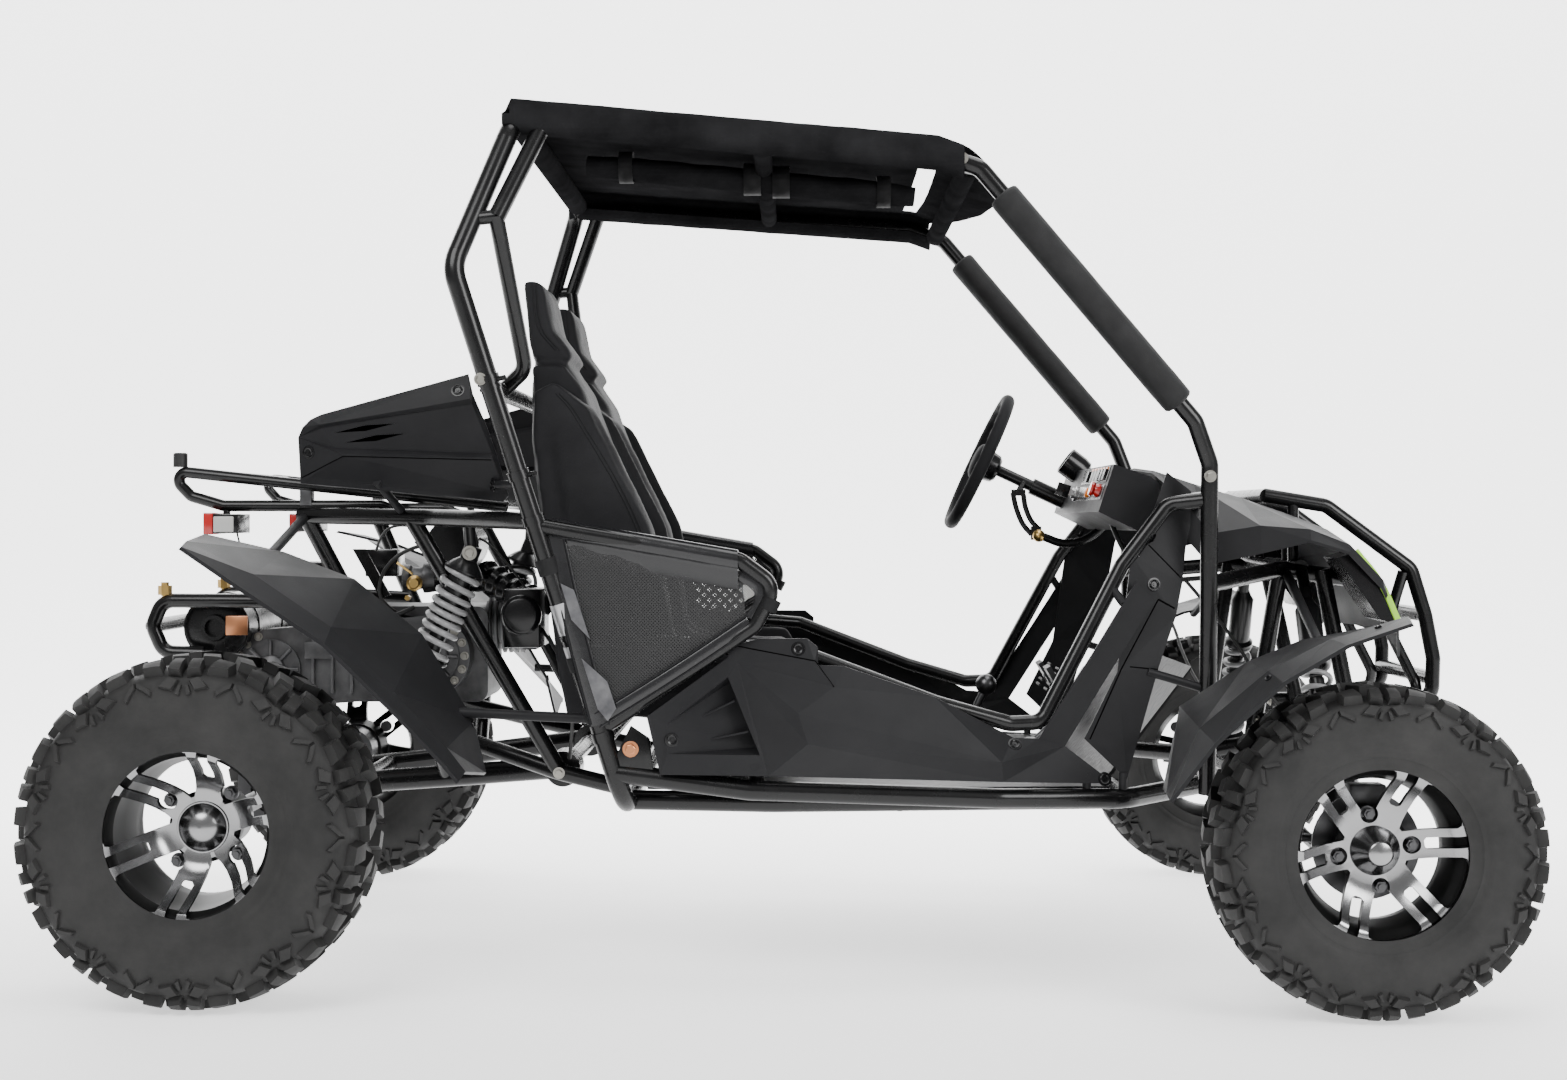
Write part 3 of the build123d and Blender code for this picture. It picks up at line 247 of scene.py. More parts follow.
def bump(mat, *layers):
    """Stacked bumps: each layer is a value, a strength and a distance in metres."""
    normal = None
    for value, strength, distance in layers:
        made = node(mat, "ShaderNodeBump", Strength=strength, Distance=distance)
        link(mat, value, made.inputs["Height"])
        if normal is not None:
            link(mat, normal, made.inputs["Normal"])
        normal = made.outputs["Normal"]
    link(mat, normal, sockets(mat)["Normal"])


def frame_paint():
    """Thick gloss black enamel with a little orange peel."""
    mat = shader("frame_paint", (0.003, 0.003, 0.0033), 0.2, coat=0.12, coat_rough=0.1, specular=0.3)
    two_tone(mat, noise(mat, 9, 6), (0.002, 0.002, 0.0022), (0.005, 0.005, 0.0053))
    rough_by(mat, noise(mat, 26, 5), 0.16, 0.36)
    bump(mat, (noise(mat, 260, 2), 0.08, 0.0006), (noise(mat, 900, 2), 0.05, 0.0003))
    return mat


def moulded_plastic():
    """Charcoal moulded plastic with a fine leather grain and faint handling marks."""
    mat = shader("moulded_plastic", (0.014, 0.014, 0.015), 0.44, specular=0.12)
    two_tone(mat, noise(mat, 5, 7), (0.011, 0.011, 0.012), (0.018, 0.018, 0.019))
    rough_by(mat, noise(mat, 18, 6), 0.36, 0.52)
    bump(mat, (cells(mat, 900), 0.22, 0.0004), (noise(mat, 1800, 2), 0.12, 0.0002))
    return mat


def gloss_plastic():
    mat = shader("gloss_plastic", (0.004, 0.004, 0.0045), 0.2, coat=0.1, specular=0.3)
    rough_by(mat, noise(mat, 30, 4), 0.14, 0.3)
    bump(mat, (noise(mat, 400, 2), 0.05, 0.0003))
    return mat


def vinyl():
    """Grained upholstery vinyl."""
    mat = shader("vinyl", (0.018, 0.018, 0.019), 0.5, specular=0.02)
    two_tone(mat, noise(mat, 7, 6), (0.015, 0.015, 0.016), (0.023, 0.023, 0.0245))
    rough_by(mat, noise(mat, 30, 5), 0.4, 0.56)
    bump(mat, (cells(mat, 650), 0.35, 0.0006), (noise(mat, 60, 4), 0.12, 0.001))
    return mat


def woven(name, dark, light, pitch=0.0011, rough=0.72, specular=0.2):
    """Coated woven cloth: two crossing sets of threads over the object's axes."""
    mat = shader(name, dark, rough, specular=specular)
    two_tone(mat, noise(mat, 14, 6), dark, light)
    place = node(mat, "ShaderNodeTexCoord")
    waves = []
    for axis in ("X", "Y", "Z"):
        wave = node(mat, "ShaderNodeTexWave", wave_type="BANDS", bands_direction=axis, Scale=0.05 / pitch,
                    Distortion=0.4)
        link(mat, place.outputs["Object"], wave.inputs["Vector"])
        waves.append(wave.outputs["Fac"])
    threads = maths(mat, "ADD", maths(mat, "MULTIPLY", waves[0], waves[1]), waves[2])
    bump(mat, (threads, 0.4, 0.0005), (noise(mat, 40, 4), 0.2, 0.002))
    return mat


def foam_cloth():
    mat = shader("foam_cloth", (0.006, 0.006, 0.0065), 0.7, sheen=0.06, specular=0.3)
    two_tone(mat, noise(mat, 30, 6), (0.004, 0.004, 0.0045), (0.01, 0.01, 0.0105))
    bump(mat, (noise(mat, 1400, 3), 0.45, 0.0006), (noise(mat, 45, 5), 0.3, 0.003))
    return mat


def tyre_rubber():
    """Tread rubber: matt, a little dusty, with fine mould texture."""
    mat = shader("tyre_rubber", (0.012, 0.012, 0.012), 0.66, specular=0.3)
    two_tone(mat, noise(mat, 10, 8, 0.65), (0.01, 0.01, 0.01), (0.024, 0.0235, 0.023))
    rough_by(mat, noise(mat, 24, 6), 0.52, 0.78)
    bump(mat, (noise(mat, 700, 4), 0.25, 0.0006), (noise(mat, 60, 5), 0.2, 0.0015))
    return mat


def machined_alloy():
    """Machined aluminium with faint turning marks and smears."""
    mat = shader("machined_alloy", (0.3, 0.3, 0.304), 0.2, metallic=1.0)
    rough_by(mat, noise(mat, 16, 6), 0.14, 0.3)
    bump(mat, (noise(mat, 900, 2, stretch=(1, 0.05, 1)), 0.05, 0.0003), (noise(mat, 60, 4), 0.04, 0.0006))
    return mat


def cast_alloy():
    mat = shader("cast_alloy", (0.16, 0.16, 0.163), 0.48, metallic=0.9)
    two_tone(mat, noise(mat, 22, 8), (0.06, 0.06, 0.062), (0.15, 0.15, 0.153))
    bump(mat, (noise(mat, 500, 4), 0.35, 0.0006))
    return mat


def sleeve_vinyl():
    """Glossy black vinyl with soft folds."""
    mat = shader("sleeve_vinyl", (0.009, 0.009, 0.01), 0.26, coat=0.2, specular=0.4)
    rough_by(mat, noise(mat, 20, 5), 0.18, 0.34)
    bump(mat, (noise(mat, 60, 3), 0.25, 0.0015), (noise(mat, 500, 2), 0.06, 0.0004))
    return mat


def patch_vinyl():
    """Grey reflective cloth of the net's patches."""
    mat = shader("patch_vinyl", (0.09, 0.09, 0.095), 0.45, specular=0.15)
    two_tone(mat, noise(mat, 40, 5), (0.06, 0.06, 0.065), (0.13, 0.13, 0.135))
    bump(mat, (cells(mat, 700), 0.3, 0.0004))
    return mat


def net_mesh():
    """Open net: fine black cords with holes between them."""
    mat = shader("net_mesh", (0.008, 0.008, 0.0085), 0.6)
    place = node(mat, "ShaderNodeTexCoord")
    pitch = 0.0055
    waves = []
    for rise in (1.0, -1.0):
        along = node(mat, "ShaderNodeVectorMath", operation="DOT_PRODUCT")
        along.inputs[1].default_value = (1.0, 0.0, rise)
        link(mat, place.outputs["Object"], along.inputs[0])
        waves.append(maths(mat, "SINE", maths(mat, "MULTIPLY", along.outputs["Value"], 2 * math.pi / pitch)))
    cords = maths(mat, "MAXIMUM", *waves)
    link(mat, maths(mat, "GREATER_THAN", cords, -0.5), sockets(mat)["Alpha"])
    bump(mat, (cords, 0.6, 0.0008))
    return mat


def tread_plate():
    """Black painted floor plate with a raised diamond pattern."""
    mat = shader("tread_plate", (0.01, 0.01, 0.0105), 0.4, specular=0.15)
    two_tone(mat, noise(mat, 12, 6), (0.007, 0.007, 0.0075), (0.015, 0.015, 0.0155))
    first = cells(mat, 60, stretch=(1, 2.6, 1))
    second = cells(mat, 60, stretch=(2.6, 1, 1))
    bump(mat, (first, 0.5, 0.0015), (second, 0.5, 0.0015))
    return mat


def lamp_glass():
    mat = shader("lamp_glass", (0.85, 0.87, 0.9), 0.04, coat=0.4)
    sockets(mat)["Transmission Weight"].default_value = 0.9
    return mat


def steel(name, color, rough=0.35):
    mat = shader(name, color, rough, metallic=1.0)
    rough_by(mat, noise(mat, 50, 6), rough * 0.7, rough * 1.4)
    bump(mat, (noise(mat, 600, 3), 0.08, 0.0003))
    return mat


MATS = {
    "paint": frame_paint(),
    "plastic": moulded_plastic(),
    "gloss": gloss_plastic(),
    "vinyl": vinyl(),
    "cloth": woven("roof_cloth", (0.008, 0.008, 0.0085), (0.017, 0.017, 0.018), rough=0.8, specular=0.0),
    "webbing": woven("webbing", (0.005, 0.005, 0.0055), (0.011, 0.011, 0.0115), 0.0016),
    "piping": shader("welt_vinyl", (0.02, 0.02, 0.021), 0.6, specular=0.0),
    "sleeve": sleeve_vinyl(),
    "patch": patch_vinyl(),
    "net": net_mesh(),
    "brass": steel("brass", (0.6, 0.4, 0.14), 0.3),
    "copper": steel("copper_plate", (0.55, 0.24, 0.12), 0.34),
    "zinc": steel("zinc_plate", (0.34, 0.33, 0.3), 0.34),
    "bare": steel("bare_label", (0.45, 0.45, 0.46), 0.42),
    "damper": shader("damper_paint", (0.006, 0.006, 0.0065), 0.3, coat=0.1, specular=0.3),
    "tread": tread_plate(),
    "hose": shader("hose_rubber", (0.006, 0.006, 0.006), 0.5),
    "orange": shader("orange_lens", (0.8, 0.2, 0.02), 0.3, coat=0.3),
    "red": shader("red_lens", (0.42, 0.012, 0.01), 0.16, coat=0.5),
    "lime": shader("lime_edge", (0.36, 0.7, 0.04), 0.25, coat=0.5),
    "white": shader("white_plastic", (0.42, 0.42, 0.41), 0.35),
    "glass": lamp_glass(),
    "mirror": shader("lamp_bowl", (0.75, 0.76, 0.78), 0.12, metallic=1.0),
    "foam": foam_cloth(),
    "rubber": tyre_rubber(),
    "alloy": machined_alloy(),
    "black": shader("pocket_black", (0.004, 0.004, 0.004), 0.4, specular=0.2),
    # Pitch-black matt with no gloss: the panels' dark joints, and painted shade along recess edges and
    # behind the rear panels
    "joint": shader("seam_and_shade_black", (0.0015, 0.0015, 0.0015), 0.9, specular=0.0),
    "cast": cast_alloy(),
    "steel": steel("dark_steel", (0.09, 0.09, 0.093)),
    "bright": steel("bright_steel", (0.5, 0.5, 0.5), 0.28),
    "spring": shader("spring_paint", (0.22, 0.22, 0.223), 0.38, coat=0.2),
}

NODE_MATERIALS = {
    "paint": ["main_hoop", "lower_frame", "roof_frame", "rear_frame", "entry_bars", "side_bars",
              "front_bumper", "rear_rack", "swing_arm", "front_arms", "rack_housing", "steering_column",
              "exhaust"],
    "tread": ["floor_pan"],
    "plastic": ["skirts", "cowl_sides", "front_cowl", "dashboard", "rear_panels", "rear_fenders",
                "front_fenders"],
    "gloss": ["headlamps", "tail_lamps", "intake", "steering_wheel"],
    "vinyl": ["seat_left", "seat_right"],
    "cloth": ["roof_canopy", "roof_pads", "side_nets"],
    "foam": ["pillar_pads"],
    "cast": ["engine"],
    "steel": ["rear_axle", "knuckle_left", "knuckle_right", "steering_rack", "pedals", "shift_lever"],
    "spring": ["rear_shocks", "front_shocks"],
    "rubber": ["rear_tyre_left", "rear_tyre_right", "front_tyre_left", "front_tyre_right"],
    "alloy": ["rear_rim_left", "rear_rim_right", "front_rim_left", "front_rim_right"],
}


def dress_nodes():
    """Gives every node that stays its material."""
    for mat, names in NODE_MATERIALS.items():
        for name in names:
            mesh = NODES[name].data
            mesh.materials.clear()
            mesh.materials.append(MATS[mat])
            mesh.polygons.foreach_set("material_index", [0] * len(mesh.polygons))


# Studio

def studio():
    """Camera, pale floor with a swept backdrop, both glowing as painted light, and soft lights."""
    scene = bpy.context.scene
    data = bpy.data.cameras.new("camera")
    camera = bpy.data.objects.new("camera", data)
    scene.collection.objects.link(camera)
    camera.location = CAMERA_AT
    camera.rotation_euler = (math.radians(90), 0, CAMERA_YAW)
    data.sensor_width = 36.0
    data.lens = FOCAL_PX * data.sensor_width / IMAGE_W
    data.shift_x = (IMAGE_W / 2 - CENTRE_U) / IMAGE_W
    data.shift_y = -(IMAGE_H / 2 - HORIZON_V) / IMAGE_W
    data.clip_end = 100
    scene.camera = camera

    world = bpy.data.worlds.new("soft_white")
    world.use_nodes = True
    background = world.node_tree.nodes["Background"].inputs
    background["Color"].default_value = (1, 1, 1, 1)
    background["Strength"].default_value = 0.42
    scene.world = world

    floor_mat = shader("studio_floor", (0.93, 0.93, 0.93), 0.9)
    bump(floor_mat, (noise(floor_mat, 3, 3), 0.02, 0.002))
    # Painted light: the floor and backdrop glow, weakly at the front and more strongly towards the back
    sockets(floor_mat)["Emission Color"].default_value = (1, 1, 1, 1)
    split = node(floor_mat, "ShaderNodeSeparateXYZ")
    link(floor_mat, coords(floor_mat), split.inputs[0])
    glow = spread(floor_mat, split.outputs["Y"], 0.5, 2.6, -1.4, 1.4)
    link(floor_mat, glow, sockets(floor_mat)["Emission Strength"])
    reach, back, sweep, steps = 9.0, 2.6, 3.0, 14
    profile = [(-reach, 0.0), (back, 0.0)]
    for step in range(1, steps + 1):
        turn = math.radians(90) * step / steps
        profile.append((back + sweep * math.sin(turn), sweep * (1 - math.cos(turn))))
    profile.append((back + sweep, reach))
    verts = [(x, y, z) for y, z in profile for x in (-reach, reach)]
    new_mesh("studio_floor", verts, quads(len(profile), 2), [floor_mat])

    lights = [
        ("key", (-1.6, -3.4, 3.4), 2.6, 130),
        ("fill", (3.2, -3.4, 2.4), 2.4, 150),
        ("top", (0.6, -0.2, 4.2), 3.0, 110),
        ("rim", (-3.2, 2.6, 2.6), 1.4, 25),
    ]
    for name, place, size, power in lights:
        lamp = bpy.data.lights.new(name, "AREA")
        lamp.shape = "DISK"
        lamp.size = size
        lamp.energy = power
        obj = bpy.data.objects.new(name, lamp)
        obj.visible_camera = False
        obj.location = place
        aim = Vector((0, 0, 0.6)) - Vector(place)
        obj.rotation_euler = aim.to_track_quat("-Z", "Y").to_euler()
        scene.collection.objects.link(obj)


# Wheels

class Wheel:
    """One wheel's place: a point at an angle round the axle, outwards by y, at radius r."""

    def __init__(self, tyre_node):
        low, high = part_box(tyre_node)
        self.side = 1 if low.y > 0 else -1
        self.centre = (low + high) / 2
        self.tyre_r = (high.z - low.z) / 2
        self.half = (high.y - low.y) / 2

    def at(self, angle, y, r):
        offset = (-self.side * r * math.cos(angle), self.side * y, r * math.sin(angle))
        return Vector([middle + away for middle, away in zip(self.centre, offset)])


TREAD = 15 * MM
# Half section of the bare carcass, from the middle of the tread to the bead: each point's place along the
# section, where 1 is the edge of the tread, its share of half the width, and its drop below the tread
CARCASS = [
    (0.0, 0.00, 0.0), (0.5, 0.50, 1.5), (0.8, 0.80, 8.0), (1.0, 0.905, 22.0), (1.25, 0.95, 44.0),
    (1.5, 0.945, 62.0), (1.75, 0.90, 78.0), (2.0, 0.85, 90.0),
]


def carcass_at(wheel, t):
    """Distance outwards and radius at a place on the half section, on a smooth line."""
    rows = CARCASS
    for index in range(len(rows) - 1):
        if t <= rows[index + 1][0] or index == len(rows) - 2:
            break
    a, b = rows[index], rows[index + 1]
    before = rows[index - 1] if index else (-b[0], -b[1], b[2])
    after = rows[index + 2] if index + 2 < len(rows) else b
    share = (t - a[0]) / (b[0] - a[0])
    out, drop = (between(before[k], a[k], b[k], after[k], share) for k in (1, 2))
    drop_scale = (wheel.tyre_r - TREAD - FLANGE_R - 5 * MM) / (90.0 * MM)
    return out * wheel.half, wheel.tyre_r - TREAD - drop * MM * drop_scale


def tread_point(wheel, angle, t, lift, flank):
    """A point on the tread or shoulder, lifted along the surface's normal."""
    y, r = carcass_at(wheel, t)
    y2, r2 = carcass_at(wheel, t + 0.02)
    along = Vector((y2 - y, r2 - r)).normalized()
    normal = Vector((-along.y, along.x))
    return wheel.at(angle, flank * (y + normal.x * lift), r + normal.y * lift)


# One pitch of the tread as four-cornered lugs: angle in degrees and place along the section
LUGS = [
    ([(-5.3, 1.13), (-5.9, 1.06), (0.0, 0.86), (0.0, 0.95)], 0.35),
    ([(5.3, 1.13), (5.9, 1.06), (0.0, 0.86), (0.0, 0.95)], 0.35),
    ([(-10.5, 0.84), (-3.0, 0.80), (-2.0, 0.56), (-9.0, 0.50)], 1.0),
    ([(10.5, 0.84), (3.0, 0.80), (2.0, 0.56), (9.0, 0.50)], 1.0),
    ([(8.0, 1.02), (13.6, 1.09), (16.4, 0.94), (12.6, 0.88)], 0.5),
    ([(28.0, 1.02), (22.4, 1.09), (19.6, 0.94), (23.4, 0.88)], 0.5),
    ([(14.6, 1.12), (16.4, 1.16), (17.4, 1.0), (16.2, 1.0)], 0.35),
    ([(21.4, 1.12), (19.6, 1.16), (18.6, 1.0), (19.8, 1.0)], 0.35),
    ([(12.0, 0.86), (17.2, 0.90), (17.2, 0.58), (13.0, 0.56)], 1.0),
    ([(24.0, 0.86), (18.8, 0.90), (18.8, 0.58), (23.0, 0.56)], 1.0),
    ([(-4.0, 0.48), (2.5, 0.50), (7.0, 0.06), (1.0, 0.04)], 1.0),
    ([(8.0, 0.46), (15.0, 0.50), (17.0, 0.20), (11.0, 0.10)], 1.0),
    ([(18.5, 0.50), (25.0, 0.48), (28.5, 0.06), (21.5, 0.08)], 1.0),
]
PITCHES = 10


def tyre(name, tyre_node, body):
    """A tyre: carcass turned round the axle, with bead ring, sidewall ribs and moulded lugs."""
    wheel = Wheel(tyre_node)
    turns, along = 120, 26
    section = [(-1, 2.0 * (along - i) / along) for i in range(along)]
    section += [(1, 2.0 * i / along) for i in range(along + 1)]
    bead_in = FLANGE_R - 12 * MM
    bead_y = carcass_at(wheel, 2.0)[0] - 3 * MM
    verts = []
    for angle in angles(turns):
        verts.append(wheel.at(angle, -bead_y, bead_in))
        for flank, t in section:
            y, r = carcass_at(wheel, t)
            rib = 1.2 * MM if 1.62 < t < 1.70 or 1.9 < t < 1.97 else 0.0
            verts.append(wheel.at(angle, flank * (y + rib), r))
        verts.append(wheel.at(angle, bead_y, bead_in))
    faces = quads(turns, len(section) + 2, loop=True, flip=True)
    for flank in (-1, 1):
        stagger = math.radians(360 / PITCHES / 2) if flank < 0 else 0.0
        for start in angles(PITCHES):
            for corners, height in LUGS:
                add_lug(wheel, verts, faces, start + stagger, corners, height * TREAD, flank)
    obj = new_mesh(name, verts, faces, [MATS["rubber"]], sharp=32)
    return finish_piece(obj, body, "tyre_rubber", tyre_node)


def add_lug(wheel, verts, faces, start, corners, height, flank):
    """One raised lug: a curved top with drafted sides down into the carcass."""
    last, inset, sunk = 3, 0.10, -1.5 * MM

    def place(u, v, lift):
        angle, t = ((a * (1 - u) + b * u) * (1 - v) + (d * (1 - u) + c * u) * v
                    for a, b, c, d in zip(*corners))
        return tread_point(wheel, start + math.radians(angle), t, lift, flank)

    base, row = len(verts), last + 1
    steps = [inset + (1 - 2 * inset) * k / last for k in range(row)]
    verts += [place(u, v, height) for u in steps for v in steps]
    faces += [tuple(base + i for i in face) for face in quads(row, row)]
    ring = [(i, 0) for i in range(last)] + [(last, j) for j in range(last)]
    ring += [(i, last) for i in range(last, 0, -1)] + [(0, j) for j in range(last, 0, -1)]
    foot = len(verts)
    verts += [place(i / last, j / last, sunk) for i, j in ring]
    for k, (i, j) in enumerate(ring):
        nxt = (k + 1) % len(ring)
        top, top_next = base + i * row + j, base + ring[nxt][0] * row + ring[nxt][1]
        faces.append((top, top_next, foot + nxt, foot + k))


def turned(wheel, profile, turns, closed=False):
    """Vertices and faces of a profile of (y, r) turned round the wheel's axle."""
    verts = [wheel.at(angle, y, r) for angle in angles(turns) for y, r in profile]
    return verts, quads(turns, len(profile), ring=closed, loop=True, flip=True)


def prism(wheel, outline, low_y, high_y):
    """A closed prism along the axle from an outline of (angle, r)."""
    verts = [wheel.at(angle, y, r) for y in (low_y, high_y) for angle, r in outline]
    return verts, end_faces(2, len(outline)) + quads(2, len(outline), ring=True, flip=True)


def round_outline(angle, away, radius, sides):
    """A circle beside the axle, as an outline of (angle, r)."""
    outline = []
    for turn in angles(sides):
        x = away * math.cos(angle) + radius * math.cos(turn)
        y = away * math.sin(angle) + radius * math.sin(turn)
        outline.append((math.atan2(y, x), math.hypot(x, y)))
    return outline


RIM_FACE = [
    (30, 1.0), (50, 1.0), (62, 0.965), (76, 0.83), (94, 0.55), (108, 0.24), (114, 0.09), (118, 0.035),
    (122, 0.02), (128, 0.012), (134, 0.01),
]
FLAT_CAP = [(-14, 41), (1, 40.5), (3, 39.5), (3, 37.5), (6, 36), (14, 29), (20, 18), (22.5, 8), (23, 0.01)]
TALL_CAP = [(-14, 38), (1, 37.5), (3, 36.5), (6, 33), (30, 21), (36, 18), (38, 15), (38.5, 0.01)]


def rim_cutters(wheel, low_y, high_y, phase, nut_places, tall_cap):
    """What is cut through the wheel's face: six windows, a slot in each spoke, and the nuts' holes."""
    half_step = math.radians(30)
    edge = [(half_step - math.asin(21.5 / r), r * MM) for r in (52, 58, 66, 78, 92, 106, 117)]
    edge[0] = (max(edge[0][0], 0.01) * 0.6, 49 * MM)
    edge.append((half_step - math.asin(24.5 / 124), 124 * MM))
    arc = [(math.radians(14 - 28 * k / 6), 127.5 * MM) for k in range(7)]
    outlines = []
    for step in range(6):
        spoke = phase + math.radians(60 * step)
        middle = spoke + half_step
        window = [(middle - a, r) for a, r in edge + arc] + [(middle + a, r) for a, r in reversed(edge)]
        outlines.append(window)
        # On the wheel with the flat cap, every third slot starts closer to the hub
        inner = 6 if tall_cap else 0 if step % 3 == 2 else 14
        slot = [(8.5 / 72 * 0.55, (67 + inner) * MM), (8.5 / 74, (71 + inner) * MM), (8.5 / 131, 131 * MM)]
        outlines.append([(spoke - a, r) for a, r in slot] + [(spoke + a, r) for a, r in reversed(slot)])
    outlines += [round_outline(angle, away, 13.5 * MM, 20) for angle, away in nut_places]
    return [prism(wheel, outline, low_y, high_y) for outline in outlines]


def rim(name, tyre_node, rim_node, body, phase, nut_phase, dish, nut_circle, tall_cap):
    """A six-spoke cast wheel: machined face that dips to the hub, windows, slots, barrel, cap and nuts."""
    wheel = Wheel(tyre_node)
    low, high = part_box(rim_node)
    lip = (high.y - low.y) / 2
    hub_y = lip - 1.5 * MM - dish
    two_mats = [MATS["alloy"], MATS["black"]]
    front = [(lip - 1.5 * MM - dish * share, r * MM) for r, share in RIM_FACE]
    front += [(lip - 0.5 * MM, 135.5 * MM), (lip - 1.5 * MM, 138 * MM), (lip - 5 * MM, 138 * MM)]
    back = [(lip - 9 * MM, 127 * MM), (lip - 16 * MM, 124 * MM)]
    back += [(y - 13 * MM, r) for y, r in reversed(front[:7])]
    web = new_mesh(name, *turned(wheel, front + back, 144, closed=True), two_mats, smooth=False)
    outward(web)
    for poly in web.data.polygons:
        poly.material_index = 0 if poly.normal.y * wheel.side > 0.12 else 1

    nut_places = [(nut_phase + math.radians(90 * step), nut_circle / 2) for step in range(4)]
    cutters = rim_cutters(wheel, lip - dish - 60 * MM, lip + 20 * MM, phase, nut_places, tall_cap)
    cutter = new_mesh(name + "_cut", *joined(cutters), two_mats, smooth=False)
    outward(cutter)
    cutter.data.polygons.foreach_set("material_index", [1] * len(cutter.data.polygons))
    cut = web.modifiers.new("windows", "BOOLEAN")
    cut.operation = "DIFFERENCE"
    cut.solver = "EXACT"
    cut.use_self = True
    cut.object = cutter
    apply_modifiers(web)
    bpy.data.objects.remove(cutter)
    soften(web, 30)
    finish_piece(web, body, "rim_alloy", rim_node)

    barrel_line = [
        (lip - 8 * MM, 126.5), (lip - 20 * MM, 123), (lip - 26 * MM, 117), (lip * 0.35, 113), (0, 106),
        (-lip * 0.4, 108), (-lip + 22 * MM, 118), (-lip + 10 * MM, 123), (-lip + 3 * MM, 127),
        (-lip + 1 * MM, 136), (-lip, 138), (-lip + 4 * MM, 138), (-lip + 7 * MM, 129), (-lip + 26 * MM, 124),
        (-lip * 0.4, 112), (lip * 0.35, 117), (lip - 24 * MM, 126), (lip - 10 * MM, 129),
    ]
    barrel_line = [(y, r * MM) for y, r in barrel_line]
    cap_line = [(hub_y + y * MM, r * MM) for y, r in (TALL_CAP if tall_cap else FLAT_CAP)]
    hub_line = [(hub_y + y * MM, r * MM) for y, r in ((-60, 30), (-60, 50), (-13, 56), (-8, 48), (-8, 30))]
    nuts = []
    for angle, away in nut_places:
        for radius, sides, start, stop in ((8.5, 6, -10, 3), (11.5, 16, -14, -10), (5.0, 12, 3, 7)):
            outline = round_outline(angle, away, radius * MM, sides)
            nuts.append(prism(wheel, outline, hub_y + start * MM, hub_y + stop * MM))
    for end, shape, mats, smooth in (
        ("_barrel", turned(wheel, barrel_line, 96, closed=True), [MATS["black"]], True),
        ("_cap", turned(wheel, cap_line, 64), two_mats, True),
        ("_hub", turned(wheel, hub_line, 48, closed=True), [MATS["black"]], True),
        ("_nuts", joined(nuts), [MATS["steel"]], False),
    ):
        piece = new_mesh(name + end, *shape, mats, smooth=smooth)
        outward(piece)
        finish_piece(piece, body, "rim_alloy")


def wheels():
    """The four tyres and rims, whose faces differ between the axles."""
    rear = (REAR_PHASE, REAR_NUT_PHASE, 100 * MM, 133 * MM, False)
    front = (FRONT_PHASE, FRONT_PHASE, 47 * MM, 110 * MM, True)
    for side in ("left", "right"):
        axles = (("rear_", "rear_axle_set", rear), ("front_", "front_wheel_" + side, front))
        for end, body, _ in axles:
            tyre("tyre_" + end + side, end + "tyre_" + side, body)
        for end, body, shape in axles:
            rim("wheel_" + end + side, end + "tyre_" + side, end + "rim_" + side, body, *shape)


# Shared shapes

def at(x, y, z):
    """A point given in millimetres."""
    return Vector((x, y, z)) * MM


def mirrored(point):
    return Vector((point[0], -point[1], point[2]))


def line(points, steps=10):
    """A smooth line through points, with the same number of steps between each two."""
    points = [Vector(p) for p in points]
    ends = [2 * points[0] - points[1]] + points + [2 * points[-1] - points[-2]]
    made = [between(*ends[i:i + 4], step / steps) for i in range(len(ends) - 3) for step in range(steps)]
    return made + [points[-1]]


def square_axes(axis):
    """A direction, and two more that are square to it."""
    axis = Vector(axis).normalized()
    across = axis.orthogonal().normalized()
    return axis, across, axis.cross(across)


def tube(path, radius, sides=12, flat=1.0, caps=True, up=(0, 0, 1)):
    """Vertices and faces of a tube along a path, whose radius is flattened along the up direction."""
    verts = []
    last = len(path) - 1
    for index, point in enumerate(path):
        along = (path[min(index + 1, last)] - path[max(index - 1, 0)]).normalized()
        across = along.cross(Vector(up))
        if across.length < 0.05:
            across = along.cross(Vector((1, 0.3, 0.2)))
        across.normalize()
        rise = across.cross(along).normalized()
        size = radius(index / max(last, 1)) if callable(radius) else radius
        for turn in angles(sides):
            verts.append(point + across * size * math.cos(turn) + rise * size * flat * math.sin(turn))
    return verts, quads(len(path), sides, ring=True) + (end_faces(len(path), sides) if caps else [])


def band(centre, axis, radius, width, thick=1.5 * MM, sides=28):
    """A strap or clamp round a bar: a short thick ring."""
    axis, across, rise = square_axes(axis)
    verts = []
    for share, out in ((-0.5, 0.0), (-0.5, 1.0), (0.5, 1.0), (0.5, 0.0)):
        middle = Vector(centre) + axis * width * share
        r = radius + out * thick
        verts += [middle + across * r * math.cos(turn) + rise * r * math.sin(turn) for turn in angles(sides)]
    return verts, quads(4, sides, ring=True, loop=True)


def block(low, high):
    """A box between two corners."""
    xs, ys, zs = zip(low, high)
    verts = [Vector((x, y, z)) for x in xs for y in ys for z in zs]
    faces = [(0, 1, 3, 2), (4, 6, 7, 5), (0, 4, 5, 1), (2, 3, 7, 6), (0, 2, 6, 4), (1, 5, 7, 3)]
    return verts, faces


def side_block(side, xs, ys, zs):
    """A box from its ranges in millimetres, with the Y range as it is on the left side."""
    low, high = sorted((side * ys[0], side * ys[1]))
    return block(at(xs[0], low, zs[0]), at(xs[1], high, zs[1]))


def slab(outline, low_y, high_y):
    """A closed slab from an outline in X and Z, in millimetres."""
    verts = [at(x, y, z) for y in (low_y, high_y) for x, z in outline]
    return verts, end_faces(2, len(outline)) + quads(2, len(outline), ring=True, flip=True)


